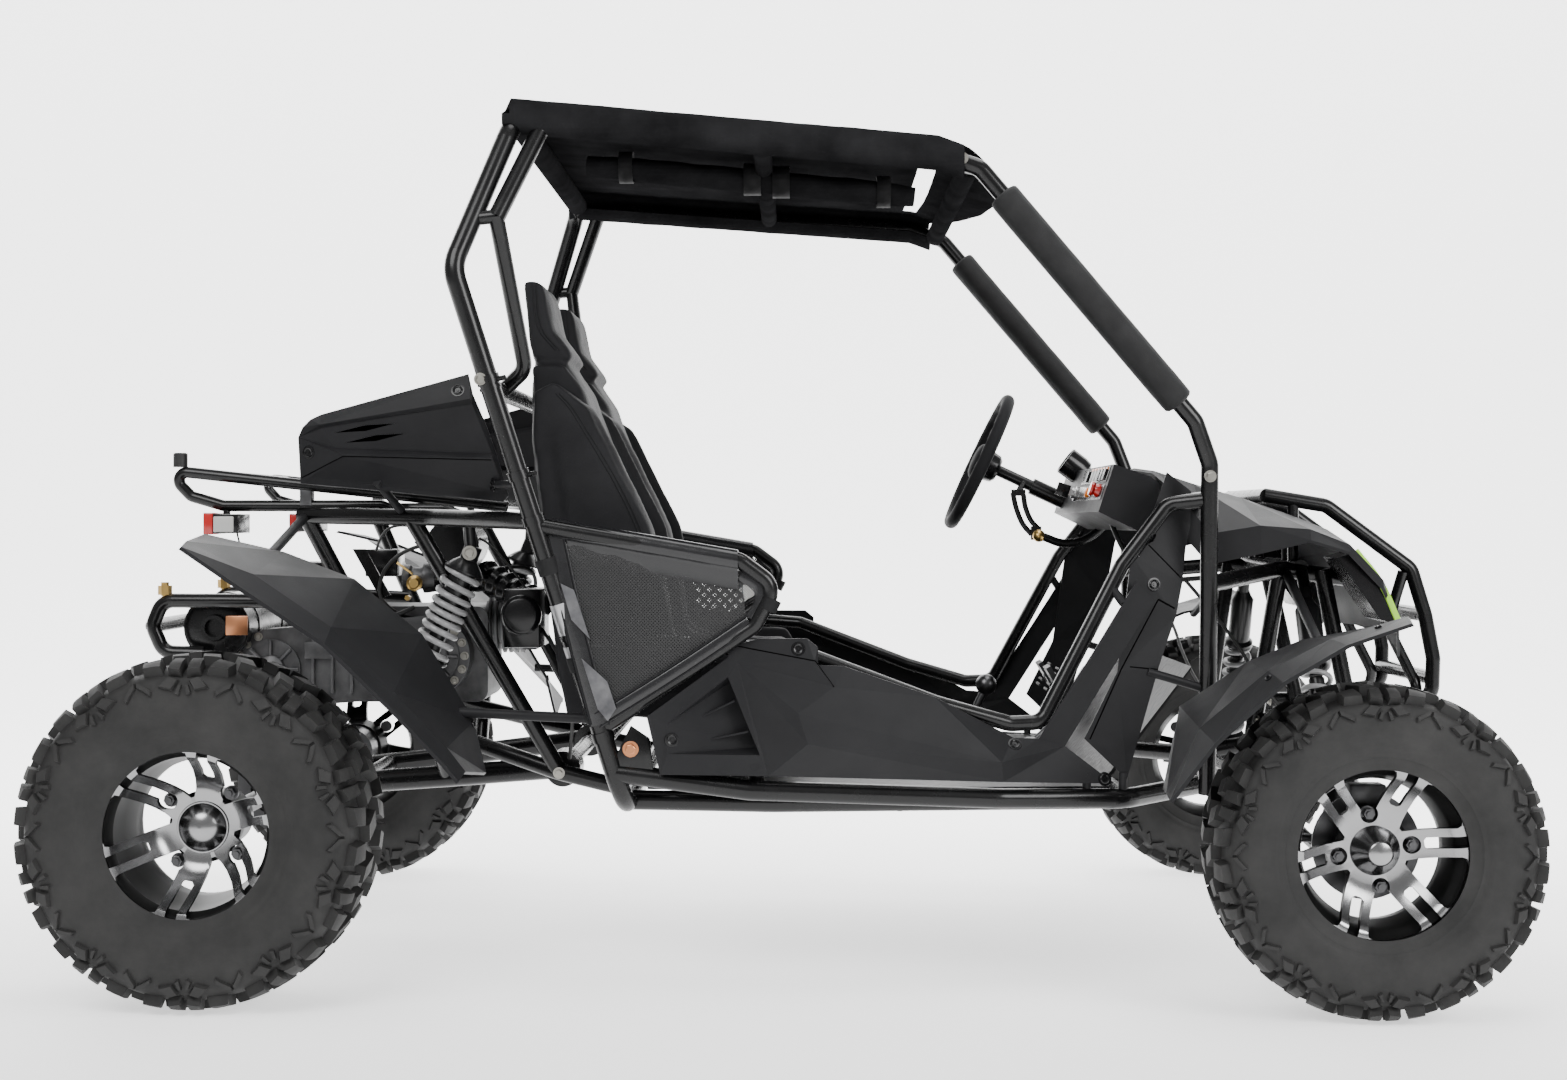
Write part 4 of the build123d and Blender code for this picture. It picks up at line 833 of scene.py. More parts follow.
def both_sides(*pieces):
    """Pieces and their mirror image on the other side, as one."""
    verts, faces = joined(pieces)
    return joined([(verts, faces), ([mirrored(v) for v in verts], [tuple(reversed(f)) for f in faces])])


def make(name, slot, mat, pieces, nodes=(), both=False, smooth=35.0, bevel=0.0, body="chassis"):
    """One finished piece from parts, mirrored to both sides if asked, with a bevel in millimetres."""
    if both:
        pieces = [both_sides(*pieces)]
    obj = new_mesh(name, *joined(pieces), [MATS[mat]], sharp=smooth)
    outward(obj)
    if bevel:
        edge = obj.modifiers.new("edge", "BEVEL")
        edge.width = bevel * MM
        edge.segments = 2
        edge.limit_method = "ANGLE"
        apply_modifiers(obj)
    soften(obj, smooth)
    return finish_piece(obj, body, slot, *nodes)


def on_surface(name, x, z, side):
    """The outermost point of a node near X and Z, in millimetres, and its normal."""
    for away in range(0, 24, 3):
        for turn in range(8 if away else 1):
            angle = math.pi * turn / 4
            start = at(x + away * math.cos(angle), side * 900, z + away * math.sin(angle))
            hit, place, normal, _ = NODES[name].ray_cast(start, Vector((0, -side, 0)))
            if hit:
                return place, normal
    raise ValueError(f"nothing of {name} at {x}, {z}")


def wobble(point, size, amount):
    """A small smooth offset that changes over a size in metres."""
    return noise_at(Vector(point) / size) * amount


# Places on the frame that the soft parts follow, and how far the seats' middles lie from X, in millimetres
RAIL_REAR = at(-368, 512, 1376)
RAIL_FRONT = at(262, 478, 1332)
PILLAR_TOP = at(330, 475, 1308)
PILLAR_KNEE = at(674, 470, 902)
HOOP_FOOT = at(-236, 535, 292)
HOOP_SHOULDER = at(-498, 620, 1136)
SEAT_Y = 245
LEG_AXIS = (HOOP_SHOULDER - HOOP_FOOT).normalized()


def leg_at(z):
    """A point on the hoop's left leg, at a height in millimetres."""
    return HOOP_FOOT.lerp(HOOP_SHOULDER, (z - 292) / (1136 - 292))


# Soft parts

def relax(obj, cap, frames=20, pressure=4.0):
    """Inflates a padded mesh with cloth, and holds every point within a distance of where it began."""
    start = [v.co.copy() for v in obj.data.vertices]
    scene = bpy.context.scene
    cloth = obj.modifiers.new("cloth", "CLOTH")
    cloth.settings.use_pressure = True
    cloth.settings.uniform_pressure_force = pressure
    cloth.settings.effector_weights.gravity = 0
    cloth.settings.quality = 4
    cloth.settings.tension_stiffness = 25
    cloth.settings.compression_stiffness = 25
    cloth.point_cache.frame_start = 1
    cloth.point_cache.frame_end = frames
    for number in range(1, frames + 1):
        scene.frame_set(number)
        bpy.context.view_layer.update()
    apply_modifiers(obj)
    scene.frame_set(1)
    for vertex, first in zip(obj.data.vertices, start):
        moved = vertex.co - first
        if moved.length > cap:
            vertex.co = first + moved.normalized() * cap
    return obj


def remeshed(obj, voxel, rounds):
    """An even mesh over a closed form, with its corners softened."""
    grid = obj.modifiers.new("grid", "REMESH")
    grid.mode = "VOXEL"
    grid.voxel_size = voxel
    ease = obj.modifiers.new("ease", "SMOOTH")
    ease.iterations = rounds
    ease.factor = 0.5
    return apply_modifiers(obj)


# The seat's pads as outlines in X and Z with their Y range, and its seams, in millimetres
BOLSTER = [
    (-340, 422), (38, 422), (46, 476), (16, 524), (-100, 530), (-158, 552), (-202, 735), (-302, 930),
    (-360, 972), (-392, 955), (-393, 880), (-367, 636),
]
SEAT_PADS = {
    "base": ([(-334, 420), (44, 420), (52, 466), (16, 488), (-60, 481), (-196, 452), (-212, 438)],
             -138, 138),
    "back": ([(-346, 446), (-214, 456), (-212, 560), (-244, 735), (-324, 962), (-352, 1004), (-404, 1004),
              (-399, 900), (-371, 640)], -138, 138),
    "near": (BOLSTER, -209, -151),
    "far": (BOLSTER, 151, 209),
    "head": ([(-340, 1018), (-374, 1064), (-386, 1140), (-398, 1147), (-418, 1147), (-409, 1040),
              (-404, 1018)], -119, 119),
}
SEAT_SEAM = [(-352, 950), (-316, 905), (-222, 735), (-176, 556), (-110, 516), (6, 508), (28, 470)]
HEAD_SEAM = [(-362, 1026), (-392, 1066), (-401, 1136)]


def seats():
    """Both bucket seats: inflated vinyl pads with double seams, the left one a copy of the right."""
    pads = [slab(outline, low, high) for outline, low, high in SEAT_PADS.values()]
    seat = new_mesh("seat_pads_right", *joined(pads), [MATS["vinyl"]], smooth=False)
    outward(seat)
    remeshed(seat, 6.5 * MM, 6)
    relax(seat, 6 * MM)
    places = []
    for vertex in seat.data.vertices:
        crease = wobble(vertex.co, 0.055, 1.6 * MM) + wobble(vertex.co, 0.02, 0.5 * MM)
        places.append(vertex.co + vertex.normal * crease)
    for vertex, place in zip(seat.data.vertices, places):
        vertex.co = place
    soften(seat, 80)
    tree = BVHTree.FromObject(seat, bpy.context.evaluated_depsgraph_get())
    welts = []
    for side in (-1, 1):
        for points in (SEAT_SEAM, HEAD_SEAM):
            for shift in (-3.0, 3.0):
                path = []
                for point in line([at(x + shift, side * 300, z) for x, z in points], 8):
                    place, normal, _, _ = tree.ray_cast(point, Vector((0, -side, 0)))
                    if place is not None:
                        path.append(place + normal * 0.2 * MM)
                welts.append(tube(path, 1.5 * MM, 6))
    verts, faces = joined(welts)
    pads_obj, middle = seat, seat.data.copy()
    for side, name in ((-1, "right"), (1, "left")):
        if side > 0:
            pads_obj = bpy.data.objects.new("seat_pads_left", middle)
            bpy.context.scene.collection.objects.link(pads_obj)
        move = at(0, SEAT_Y * side, 0)
        pads_obj.data.transform(Matrix.Translation(move))
        finish_piece(pads_obj, "chassis", "seat_vinyl", "seat_" + name)
        welt = new_mesh("seat_seams_" + name, [v + move for v in verts], faces, [MATS["piping"]])
        outward(welt)
        finish_piece(welt, "chassis", "seat_vinyl")


def rail_at(share):
    """The middle of the left roof rail, from the hoop (0) to the front of the cloth (1)."""
    back = RAIL_REAR.lerp(RAIL_FRONT, -0.08)
    if share < 0.9:
        return back.lerp(RAIL_FRONT, share / 0.9)
    return RAIL_FRONT.lerp(PILLAR_TOP, (share - 0.9) / 0.1 * 0.6)


CANOPY_WRAP = 27.6 * MM
CURTAIN_Y = -165 * MM


def canopy_cloth():
    """One cloth stretched over the roof and wrapped round both rails, with a slit and a bowed front edge."""
    lengths, arc, flat = 90, 14, 60
    rows = []
    for i in range(lengths + 1):
        share = i / lengths
        centre = rail_at(share) + Vector((0, 0, 8 * MM * (1 - share)))
        row = []
        for j in range(arc + 1):
            turn = math.radians(-165 + 255 * j / arc)
            r = CANOPY_WRAP + wobble((centre.x, turn * 0.03, 0.4), 0.05, 1.0 * MM)
            row.append(centre + Vector((0, r * math.cos(turn), r * math.sin(turn))))
        top = row[-1]
        visor = 92 * MM * max(0.0, (share - 0.9) / 0.1)
        for j in range(1, flat):
            s = j / flat
            y = top.y * (1 - 2 * s)
            tight = math.sin(math.pi * s)
            z = top.z - 9 * MM * tight ** 0.8
            z += wobble((centre.x * 0.6 + y * 0.5, y * 0.4, 0.0), 0.05, 3.0 * MM) * tight ** 0.5
            bow = tight ** 0.7
            row.append(Vector((centre.x + visor * bow, y, z - visor * 0.18 * bow)))
        row += [mirrored(p) for p in reversed(row[:arc + 1])]
        rows.append(row)
    drop = []
    for p in rows[0]:
        near_top = p.z > rail_at(0).z + 10 * MM
        drop.append(p + Vector((-12 * MM, 0, -26 * MM if near_top else 0)))
    rows.insert(0, drop)
    verts = [p for row in rows for p in row]
    wide = len(drop)
    faces, area = [], 0.0
    for face in quads(len(rows), wide):
        corner, beside, _, ahead = (verts[i] for i in face)
        in_slit = abs(corner.x - 255 * MM) < 15 * MM and abs(corner.y) < 400 * MM
        if in_slit and arc < face[0] % wide < wide - arc:
            continue
        faces.append(face)
        area += (beside - corner).cross(ahead - corner).length
    cloth = new_mesh("canopy_cloth", verts, faces, [MATS["cloth"]], sharp=80)
    thickened(cloth, 0)
    soften(cloth, 80)
    finish_piece(cloth, "chassis", "roof_cloth", "roof_canopy", "roof_pads")


def curtain_middle(x):
    """The middle of the rolled curtain that hangs below the cloth's underside."""
    share = (x - rail_at(0).x) / (RAIL_FRONT.x - rail_at(0).x) * 0.9
    rail = rail_at(share)
    across = 0.5 - CURTAIN_Y / 2 / rail.y
    underside = rail.z + CANOPY_WRAP - 9 * MM * math.sin(math.pi * across) ** 0.8 - 4 * MM
    sag = 26 * MM + 16 * MM * (x + 0.33) / 0.57
    return Vector((x, CURTAIN_Y, underside - sag))


def canopy():
    """The roof's cloth, the hems over its cross tubes, and a rolled curtain strapped under it."""
    canopy_cloth()
    hems = [rod(at(x, -y, z), at(x, y, z), r * MM, 24)
            for x, y, z, r in ((-412, 488, 1384, 19.5), (-21.5, 468, 1351.8, 15.5), (313, 454, 1314, 17.5))]
    make("canopy_hems", "roof_cloth", "cloth", hems)
    xs = [(-330 + 570 * k / 40) * MM for k in range(41)]
    path = [curtain_middle(x) + Vector((0, wobble((x, 0, 2), 0.1, 4 * MM), 0)) for x in xs]
    verts, faces = tube(path, lambda t: (31 - 6 * abs(2 * t - 1) ** 6) * MM, 28, flat=0.66)
    verts = [v + Vector((0, wobble(v, 0.02, 1.5 * MM), wobble(v, 0.03, 2.5 * MM))) for v in verts]
    make("canopy_curtain", "roof_cloth", "cloth", [(verts, faces)], smooth=80)
    straps = []
    for x, width in ((-262, 24), (-42, 30), (8, 30), (186, 24)):
        verts = []
        for k in range(33):
            turn = math.radians(90 + 360 * k / 32)
            p = curtain_middle(x * MM) + at(0, 34 * math.cos(turn), 3 + 26 * math.sin(turn))
            verts += [p + at(-width / 2, 0, 0), p + at(width / 2, 0, 0)]
        straps.append((verts, quads(33, 2)))
    strap = new_mesh("canopy_straps", *joined(straps), [MATS["webbing"]])
    thickened(strap, -1)
    finish_piece(strap, "chassis", "roof_cloth")


def foam_sleeves():
    """The foam sleeves on both windscreen pillars, with rounded ends and a lengthwise seam."""
    start, stop = PILLAR_TOP.lerp(PILLAR_KNEE, 0.1), PILLAR_TOP.lerp(PILLAR_KNEE, 0.93)
    shares = [0, 0.004, 0.012] + [0.012 + 0.976 * k / 60 for k in range(1, 60)] + [0.988, 0.996, 1]
    rounded = {0: 15.5, 0.004: 21.5, 0.012: 25.0, 0.988: 25.0, 0.996: 21.5, 1: 15.5}
    path = [start.lerp(stop, s) for s in shares]
    verts, faces = tube(path, 1.0, 32, caps=False)
    shaped = []
    for index, vertex in enumerate(verts):
        share = shares[index // 32]
        middle = start.lerp(stop, share)
        out = (vertex - middle).normalized()
        size = rounded.get(share, 25.6) * MM
        shaped.append(middle + out * (size + wobble(middle + out * 0.03, 0.035, 0.5 * MM)))
    make("foam_sleeves", "foam_sleeve", "foam", [(shaped, faces)], ["pillar_pads"], both=True, smooth=50)
    seam = [p + at(-16.5, -18.5, -15.5) for p in path[6:-6]]
    make("foam_seams", "foam_sleeve", "piping", [tube(seam, 0.9 * MM, 6)], both=True)


NET_TOP = (at(-340, 577, 722), at(-50, 577, 664))
NET_LOW = (at(-268, 577, 432), at(-44, 577, 588))


def nets():
    """The mesh nets below the elbow bars, with vinyl borders, patches and straps."""
    across, down = 30, 24
    verts, area = [], 0.0
    for i in range(across + 1):
        s = i / across
        top, low = NET_TOP[0].lerp(NET_TOP[1], s), NET_LOW[0].lerp(NET_LOW[1], s)
        for j in range(down + 1):
            t = j / down
            bulge = math.sin(math.pi * s) * math.sin(math.pi * t) * 5 * MM
            verts.append(top.lerp(low, t) + Vector((0, bulge + wobble((s, t, 3), 0.2, 1 * MM), 0)))
    faces = quads(across + 1, down + 1)
    for a, b, _, d in faces:
        area += (verts[b] - verts[a]).cross(verts[d] - verts[a]).length
    for side, name in ((1, "left"), (-1, "right")):
        points = verts if side > 0 else [mirrored(v) for v in verts]
        net = new_mesh("net_mesh_" + name, points, faces, [MATS["net"]], sharp=80)
        finish_piece(net, "chassis", "net_cord", *(["side_nets"] if side > 0 else []))

    start, stop = leg_at(736) + at(26, -8, -5), at(-56, 578, 681)
    turns = [math.radians(-60 + 300 * k / 24) for k in range(25)]
    section = [(3.5, -46), (4.5, -20)] + [(16.5 * math.cos(turn), 16.5 * math.sin(turn)) for turn in turns]
    section += [(-4.5, -20), (-3.5, -46)]
    verts = []
    for k in range(31):
        p = start.lerp(stop, k / 30)
        verts += [p + at(0, y + wobble((k * 0.03, y * 0.02, 0), 0.1, 0.8), z) for y, z in section]
    wrap = (verts, quads(31, len(section), ring=True) + end_faces(31, len(section)))
    rear, low = NET_TOP[0].lerp(NET_LOW[0], 0.5), NET_LOW[0].lerp(NET_LOW[1], 0.5)
    rear_edge = line([NET_TOP[0] + at(-6, 0, 4), rear + at(-8, 2, 0), NET_LOW[0] + at(-4, 0, -8)])
    low_edge = line([NET_LOW[0] + at(-8, 0, -2), low + at(0, 2, -5), NET_LOW[1] + at(6, 0, -4)])
    corners = [at(-24, 578, 640), at(-22, 578, 612)]
    front_edge = line([NET_TOP[1] + at(-2, 0, -6)] + corners + [NET_LOW[1] + at(8, 0, 2)])
    borders = [tube(edge, radius * MM, 12, flat=flat, up=(0, 1, 0))
               for edge, radius, flat in ((rear_edge, 17, 0.24), (low_edge, 12, 0.3), (front_edge, 10, 0.3))]
    make("net_borders", "net_cord", "sleeve", [wrap] + borders, ["side_nets"], both=True, smooth=60)
    beside = [(rear_edge, (15, 3.5, 0)), (low_edge, (-4, 3.5, 11)), (rear_edge, (-14, 3.0, 0)),
              (low_edge, (3, 3.5, -10))]
    pipes = [tube([p + at(*offset) for p in edge], 1.4 * MM, 6) for edge, offset in beside]
    make("net_piping", "net_cord", "piping", pipes, both=True)
    patches = [
        [(-333, 645), (-312, 635), (-287, 558), (-316, 588)],
        [(-300, 528), (-260, 492), (-246, 450), (-259, 430), (-275, 449)],
    ]
    flats = [([at(x, 585.5, z) for x, z in outline], [tuple(range(len(outline)))]) for outline in patches]
    make("net_patches", "net_cord", "patch", flats, both=True)
    loops = [band(leg_at(z), LEG_AXIS, 16.5 * MM, wide * MM)
             for z, wide in ((672, 26), (520, 24), (440, 26))]
    loops += [band(at(-6, 575, 612), (0.45, 0, 0.9), 13 * MM, 20 * MM),
              band(at(-120, 551, 549), (1, -0.1, -0.04), 13 * MM, 22 * MM)]
    make("net_straps", "net_cord", "webbing", loops, both=True)


# Small parts

def rod(a, b, radius, sides=20):
    """A round rod between two points."""
    return tube([Vector(a), Vector(b)], radius, sides)


def stacked(place, axis, rows, sides=24):
    """A turned piece along an axis, from rows of height and radius in millimetres."""
    axis, across, rise = square_axes(axis)
    verts = []
    for height, radius in rows:
        for turn in angles(sides, 0.5):
            out = across * math.cos(turn) + rise * math.sin(turn)
            verts.append(Vector(place) + axis * height * MM + out * radius * MM)
    return verts, quads(len(rows), sides, ring=True) + end_faces(len(rows), sides)


def hex_bolt(place, axis, size, head=5.0):
    """A hexagon head on its washer."""
    washer = stacked(place, axis, [(-0.5, size * 1.5), (1.2, size * 1.5)], 24)
    nut = stacked(place, axis, [(1.0, size), (head - 0.8, size), (head, size * 0.85)], 6)
    return joined([washer, nut])


def screw(place, axis, radius):
    """A round cap screw with a dished head."""
    rows = [(-1, radius), (1.8, radius), (2.8, radius * 0.86), (2.2, radius * 0.62), (1.2, radius * 0.58),
            (1.2, radius * 0.3), (2.4, radius * 0.26)]
    return stacked(place, axis, rows, 24)


def plate_between(a, b, c, thick):
    """A four-cornered plate from three corners, thickened along its normal."""
    push = (b - a).cross(c - b).normalized() * thick
    corners = [a, b, c, a + c - b]
    verts = corners + [corner + push for corner in corners]
    return verts, [(0, 1, 2, 3), (7, 6, 5, 4)] + quads(2, 4, ring=True, flip=True)


def fasteners():
    """Screws, bolts, clamps and labels on the panels, posts and hoop, and the gussets at the sills."""
    spots = [
        ("skirts", 38, 542), ("skirts", -160, 400), ("skirts", 382, 388), ("skirts", 528, 330),
        ("cowl_sides", 612, 640), ("cowl_sides", 598, 716), ("rear_panels", -750, 853),
        ("rear_panels", -508, 952), ("rear_panels", -452, 800), ("rear_fenders", -478, 420),
        ("front_fenders", 739, 508), ("front_fenders", 903, 590),
    ]
    posts = [
        ((697, 478, 814), (0, 1, 0)), ((257, 494, 1334), (0, 1, -0.2)), ((-454, 621, 962), (0.3, 1, 0)),
        ((-361, 346, 322), (0, 1, 0)), ((300, 492, 1322), (0, 1, 0)),
    ]
    heads, rings, shade_blocks, bolts = [], [], [], []
    for side in (-1, 1):
        for name, x, z in spots:
            place, normal = on_surface(name, x, z, side)
            if name.endswith("fenders"):
                heads.append(screw(place, normal, 5.5))
            else:
                rings.append(stacked(place, normal, [(-0.6, 11.5), (0.8, 11.0), (0.9, 9.0), (0.2, 9.0)]))
                heads.append(screw(place - normal * 0.6 * MM, normal, 8.0))
        # Painted shade: a pitch-black block 16 to 20 mm behind each rear panel's face
        face_y = abs(on_surface("rear_panels", -650, 860, side)[0].y) / MM
        shade_blocks.append(side_block(side, (-712, -585), (face_y - 20, face_y - 16), (858, 906)))
        for (x, y, z), axis in posts:
            bolts.append(hex_bolt(at(x, side * y, z), (axis[0], side * axis[1], axis[2]), 6.5))
    make("rear_panel_shade_blocks", "body_plastic", "joint", shade_blocks)
    make("panel_screws", "body_plastic", "gloss", heads + rings)
    make("frame_bolts", "frame_paint", "zinc", bolts)
    gusset_bolt = hex_bolt(at(-226, 551, 383), (0, 1, 0), 8.5, 8)
    make("gusset_bolts", "frame_paint", "copper", [gusset_bolt], both=True)
    clamps = [band(leg_at(z), LEG_AXIS, 16.2 * MM, 14 * MM, 2.2 * MM) for z in (962, 814, 744, 404)]
    clamps += [rod(leg_at(z) + at(12, 6, 0), leg_at(z) + at(28, 16, 3), 4 * MM) for z in (962, 814)]
    make("hoop_clamps", "frame_paint", "paint", clamps, both=True)
    labels = [band(leg_at(z), LEG_AXIS, 16.3 * MM, wide * MM, 0.5 * MM)
              for z, wide in ((590, 50), (534, 30))]
    make("leg_plates", "frame_paint", "bare", labels, both=True)
    gusset = slab([(-262, 346), (-190, 346), (-196, 400), (-226, 420)], 546, 551)
    make("sill_gussets", "frame_paint", "paint", [gusset], both=True, bevel=1)


def coil(top, foot, radius, wire, turns):
    """A coil spring between two points, with flat closed ends."""
    length = (foot - top).length
    axis, across, rise = square_axes(foot - top)
    path = []
    steps = int(turns * 22)
    for step in range(steps + 1):
        share = step / steps
        turn = 2 * math.pi * turns * share
        eased = share + 0.035 * math.sin(2 * math.pi * share)
        middle = top + axis * length * eased
        path.append(middle + across * radius * math.cos(turn) + rise * radius * math.sin(turn))
    return tube(path, wire / 2, 10, up=axis)


def shocks():
    """The coil-over units, rear and front."""
    top, foot = at(-500, 400, 690), at(-584, 400, 484)
    axis = foot - top
    spring = coil(top + axis * 0.14, top + axis * 0.84, 27.5 * MM, 10.5 * MM, 9)
    can = [(-12, 6), (-12, 15), (12, 15), (20, 24), (31, 33), (34, 33), (34, 20), (95, 20), (95, 9),
           (196, 9), (196, 6)]
    eye = [(-10, 6), (-10, 15), (16, 15), (24, 22), (33, 33), (36, 33), (36, 14), (110, 14), (110, 8)]
    unit = [stacked(top, axis, can), stacked(foot, -axis, eye)]
    unit += [rod(place + at(0, -16, 0), place + at(0, 16, 0), 12 * MM) for place in (top, foot)]
    unit.append(rod(top, at(-500, 430, 744), 10 * MM))
    make("rear_springs", "shock_steel", "spring", [spring], ["rear_shocks"], both=True)
    make("rear_dampers", "shock_steel", "damper", unit, both=True)
    foot, top = at(900, 452, 268), at(895, 262, 628)
    axis = top - foot
    spring = coil(foot + axis * 0.14, foot + axis * 0.66, 22.5 * MM, 9 * MM, 9)
    eye = [(-12, 5), (-12, 14), (14, 14), (40, 24), (54, 27), (57, 27), (57, 13), (240, 13), (240, 5)]
    can = [(0, 5), (0, 27), (5, 27), (12, 21), (100, 21), (108, 16), (118, 12), (118, 5)]
    unit = [
        stacked(foot, axis, eye),
        stacked(foot + axis * 0.655, axis, can),
        rod(foot + axis * 0.6, top, 11 * MM), rod(top, at(895, 234, 660), 10 * MM),
        rod(foot + at(-16, 0, 0), foot + at(16, 0, 0), 12 * MM),
    ]
    make("front_springs", "shock_steel", "spring", [spring], ["front_shocks"], both=True)
    make("front_dampers", "shock_steel", "damper", unit, both=True)


def rack_parts():
    """Rubber stop and brackets of the rack, the lamps under it, and the fittings of the rear guard."""
    stop = stacked(at(-1002, -322, 833), (0, 0, 1), [(0, 12), (22, 12), (24, 10), (24, 2)])
    make("rack_stops", "rack_paint", "hose", [stop])
    plates, housings, stems, reds, clears, brass, copper = ([] for _ in range(7))
    for side in (-1, 1):
        plates.append(side_block(side, (-798, -778), (310, 334), (768, 800)))
        housings.append(side_block(side, (-938, -896), (274, 362), (722, 754)))
        reds.append(side_block(side, (-953, -937), (272, 364), (720, 756)))
        clears.append(side_block(side, (-936, -902), (276, 365), (724, 750)))
        stems.append(rod(at(-925, 318 * side, 750), at(-925, 316 * side, 768), 6 * MM))
        brass.append(stacked(at(-1062, side * 202, 622), (0, 0, 1), [(-8, 8), (-8, 12), (8, 12), (8, 8)], 6))
        brass.append(stacked(at(-1062, side * 202, 612), (0, 0, 1), [(0, 7), (24, 7), (24, 2)], 12))
        copper.append(side_block(side, (-952, -914), (214, 219), (545, 578)))
    make("rack_brackets", "rack_paint", "steel", plates, bevel=1.5)
    make("tail_lamp_housings", "tail_lamp", "gloss", housings + stems, ["tail_lamps"], bevel=1.5)
    make("tail_lamp_red", "tail_lamp", "red", reds, bevel=2)
    make("tail_lamp_clear", "tail_lamp", "white", clears, bevel=2)
    make("guard_fittings", "frame_paint", "brass", brass)
    make("guard_brackets", "frame_paint", "copper", copper, bevel=1)


def engine_parts():
    """The engine's bolts and ribs, the carburettor, air box, trays and stays, and the silencer's ends."""
    bolts, ribs = [], []
    bosses = [(-890, 482), (-610, 505)]
    for turn in angles(16):
        centre = bosses[0] if math.cos(turn) < 0 else bosses[1]
        x, z = centre[0] + 61 * math.cos(turn), centre[1] + 61 * math.sin(turn)
        bolts.append(hex_bolt(at(x, -142, z), (0, -1, 0), 5.0, 5))
    for x in range(-830, -660, 34):
        bolts.append(hex_bolt(at(x, -142, 549 + (x + 830) * 0.08), (0, -1, 0), 4.5, 5))
        ribs.append(block(at(x + 12, -149, 440), at(x + 17, -141, 540)))
    for turn in angles(8):
        for x, z in bosses:
            tip = at(x + 50 * math.cos(turn), -152, z + 50 * math.sin(turn))
            ribs.append(rod(at(x, -152, z), tip, 3 * MM, 8))
    ribs.append(stacked(at(-890, -148, 482), (0, -1, 0), [(0, 26), (8, 24), (12, 12), (14, 4)]))
    ribs.append(stacked(at(-610, -148, 505), (0, -1, 0), [(0, 34), (6, 34), (8, 28), (8, 10), (12, 8)]))
    ribs.append(block(at(-1012, -120, 508), at(-905, -60, 532)))
    ribs.append(block(at(-830, -150, 500), at(-780, -132, 530)))
    make("engine_ribs", "engine_metal", "cast", ribs, bevel=1)
    make("engine_bolts", "engine_metal", "zinc", bolts)
    brass = [
        stacked(at(-642, -108, 632), (0, -1, 0), [(0, 14), (10, 14), (12, 10), (16, 8)], 20),
        stacked(at(-655, -100, 606), (0, -1, 0), [(0, 5), (16, 5)], 6),
        stacked(at(-570, -84, 590), (0, -1, 0), [(0, 6), (10, 6)], 6),
        rod(at(-676, -96, 668), at(-648, -100, 648), 2.2 * MM, 10),
        stacked(at(-598, -60, 586), (0, 0, -1), [(0, 7), (12, 7)], 6),
    ]
    make("carburettor_brass", "intake_plastic", "brass", brass)
    throat = [(-20, 24), (0, 27), (6, 27), (6, 20), (26, 20), (30, 24), (42, 24)]
    carb = [
        stacked(at(-570, -60, 664), (0, 0, 1), [(0, 18), (8, 20), (22, 20), (26, 14), (34, 12), (34, 4)]),
        stacked(at(-628, -60, 640), (-1, 0, 0), throat),
        stacked(at(-570, -82, 640), (0, -1, 0), [(0, 14), (6, 14), (8, 9), (14, 9)]),
        block(at(-600, -96, 600), at(-548, -84, 628)),
        block(at(-612, -88, 652), at(-586, -70, 676)),
        stacked(at(-596, -92, 660), (0.3, -1, 0.4), [(0, 6), (18, 6), (20, 4), (30, 4)]),
    ]
    make("carburettor_parts", "intake_plastic", "cast", carb, bevel=0.8)
    rings = [(155 * k / 12, 30 if k % 2 else 24) for k in range(13)]
    bellows = stacked(at(-520, -130, 650), at(118, -80, -60), rings, 28)
    airbox = [bellows, block(at(-455, -330, 530), at(-395, -190, 628)),
              stacked(at(-425, -330, 585), (0, -1, 0), [(0, 34), (16, 34), (22, 28), (24, 10)], 28)]
    make("air_box", "intake_plastic", "gloss", airbox, bevel=2)
    box = [block(at(-930, -60, 640), at(-820, 70, 668)), block(at(-760, 40, 640), at(-700, 120, 690))]
    make("rear_trays", "frame_paint", "gloss", box, bevel=3)
    strap = [slab([(-745, 693), (-722, 693), (-678, 612), (-696, 606)], -152, -147),
             slab([(-640, 706), (-622, 706), (-596, 668), (-608, 660)], -132, -128)]
    make("engine_stays", "frame_paint", "paint", strap)
    mouth = [(0, 55), (4, 55), (10, 44), (10, 24), (22, 22), (22, 16), (8, 16)]
    can = [stacked(at(-980, -170, 556), (0, -1, 0), mouth)]
    can += [band(at(-980, y, 556), (0, 1, 0), 58 * MM, 24 * MM, 2 * MM) for y in (-90, 90)]
    make("silencer_parts", "exhaust_steel", "paint", can)


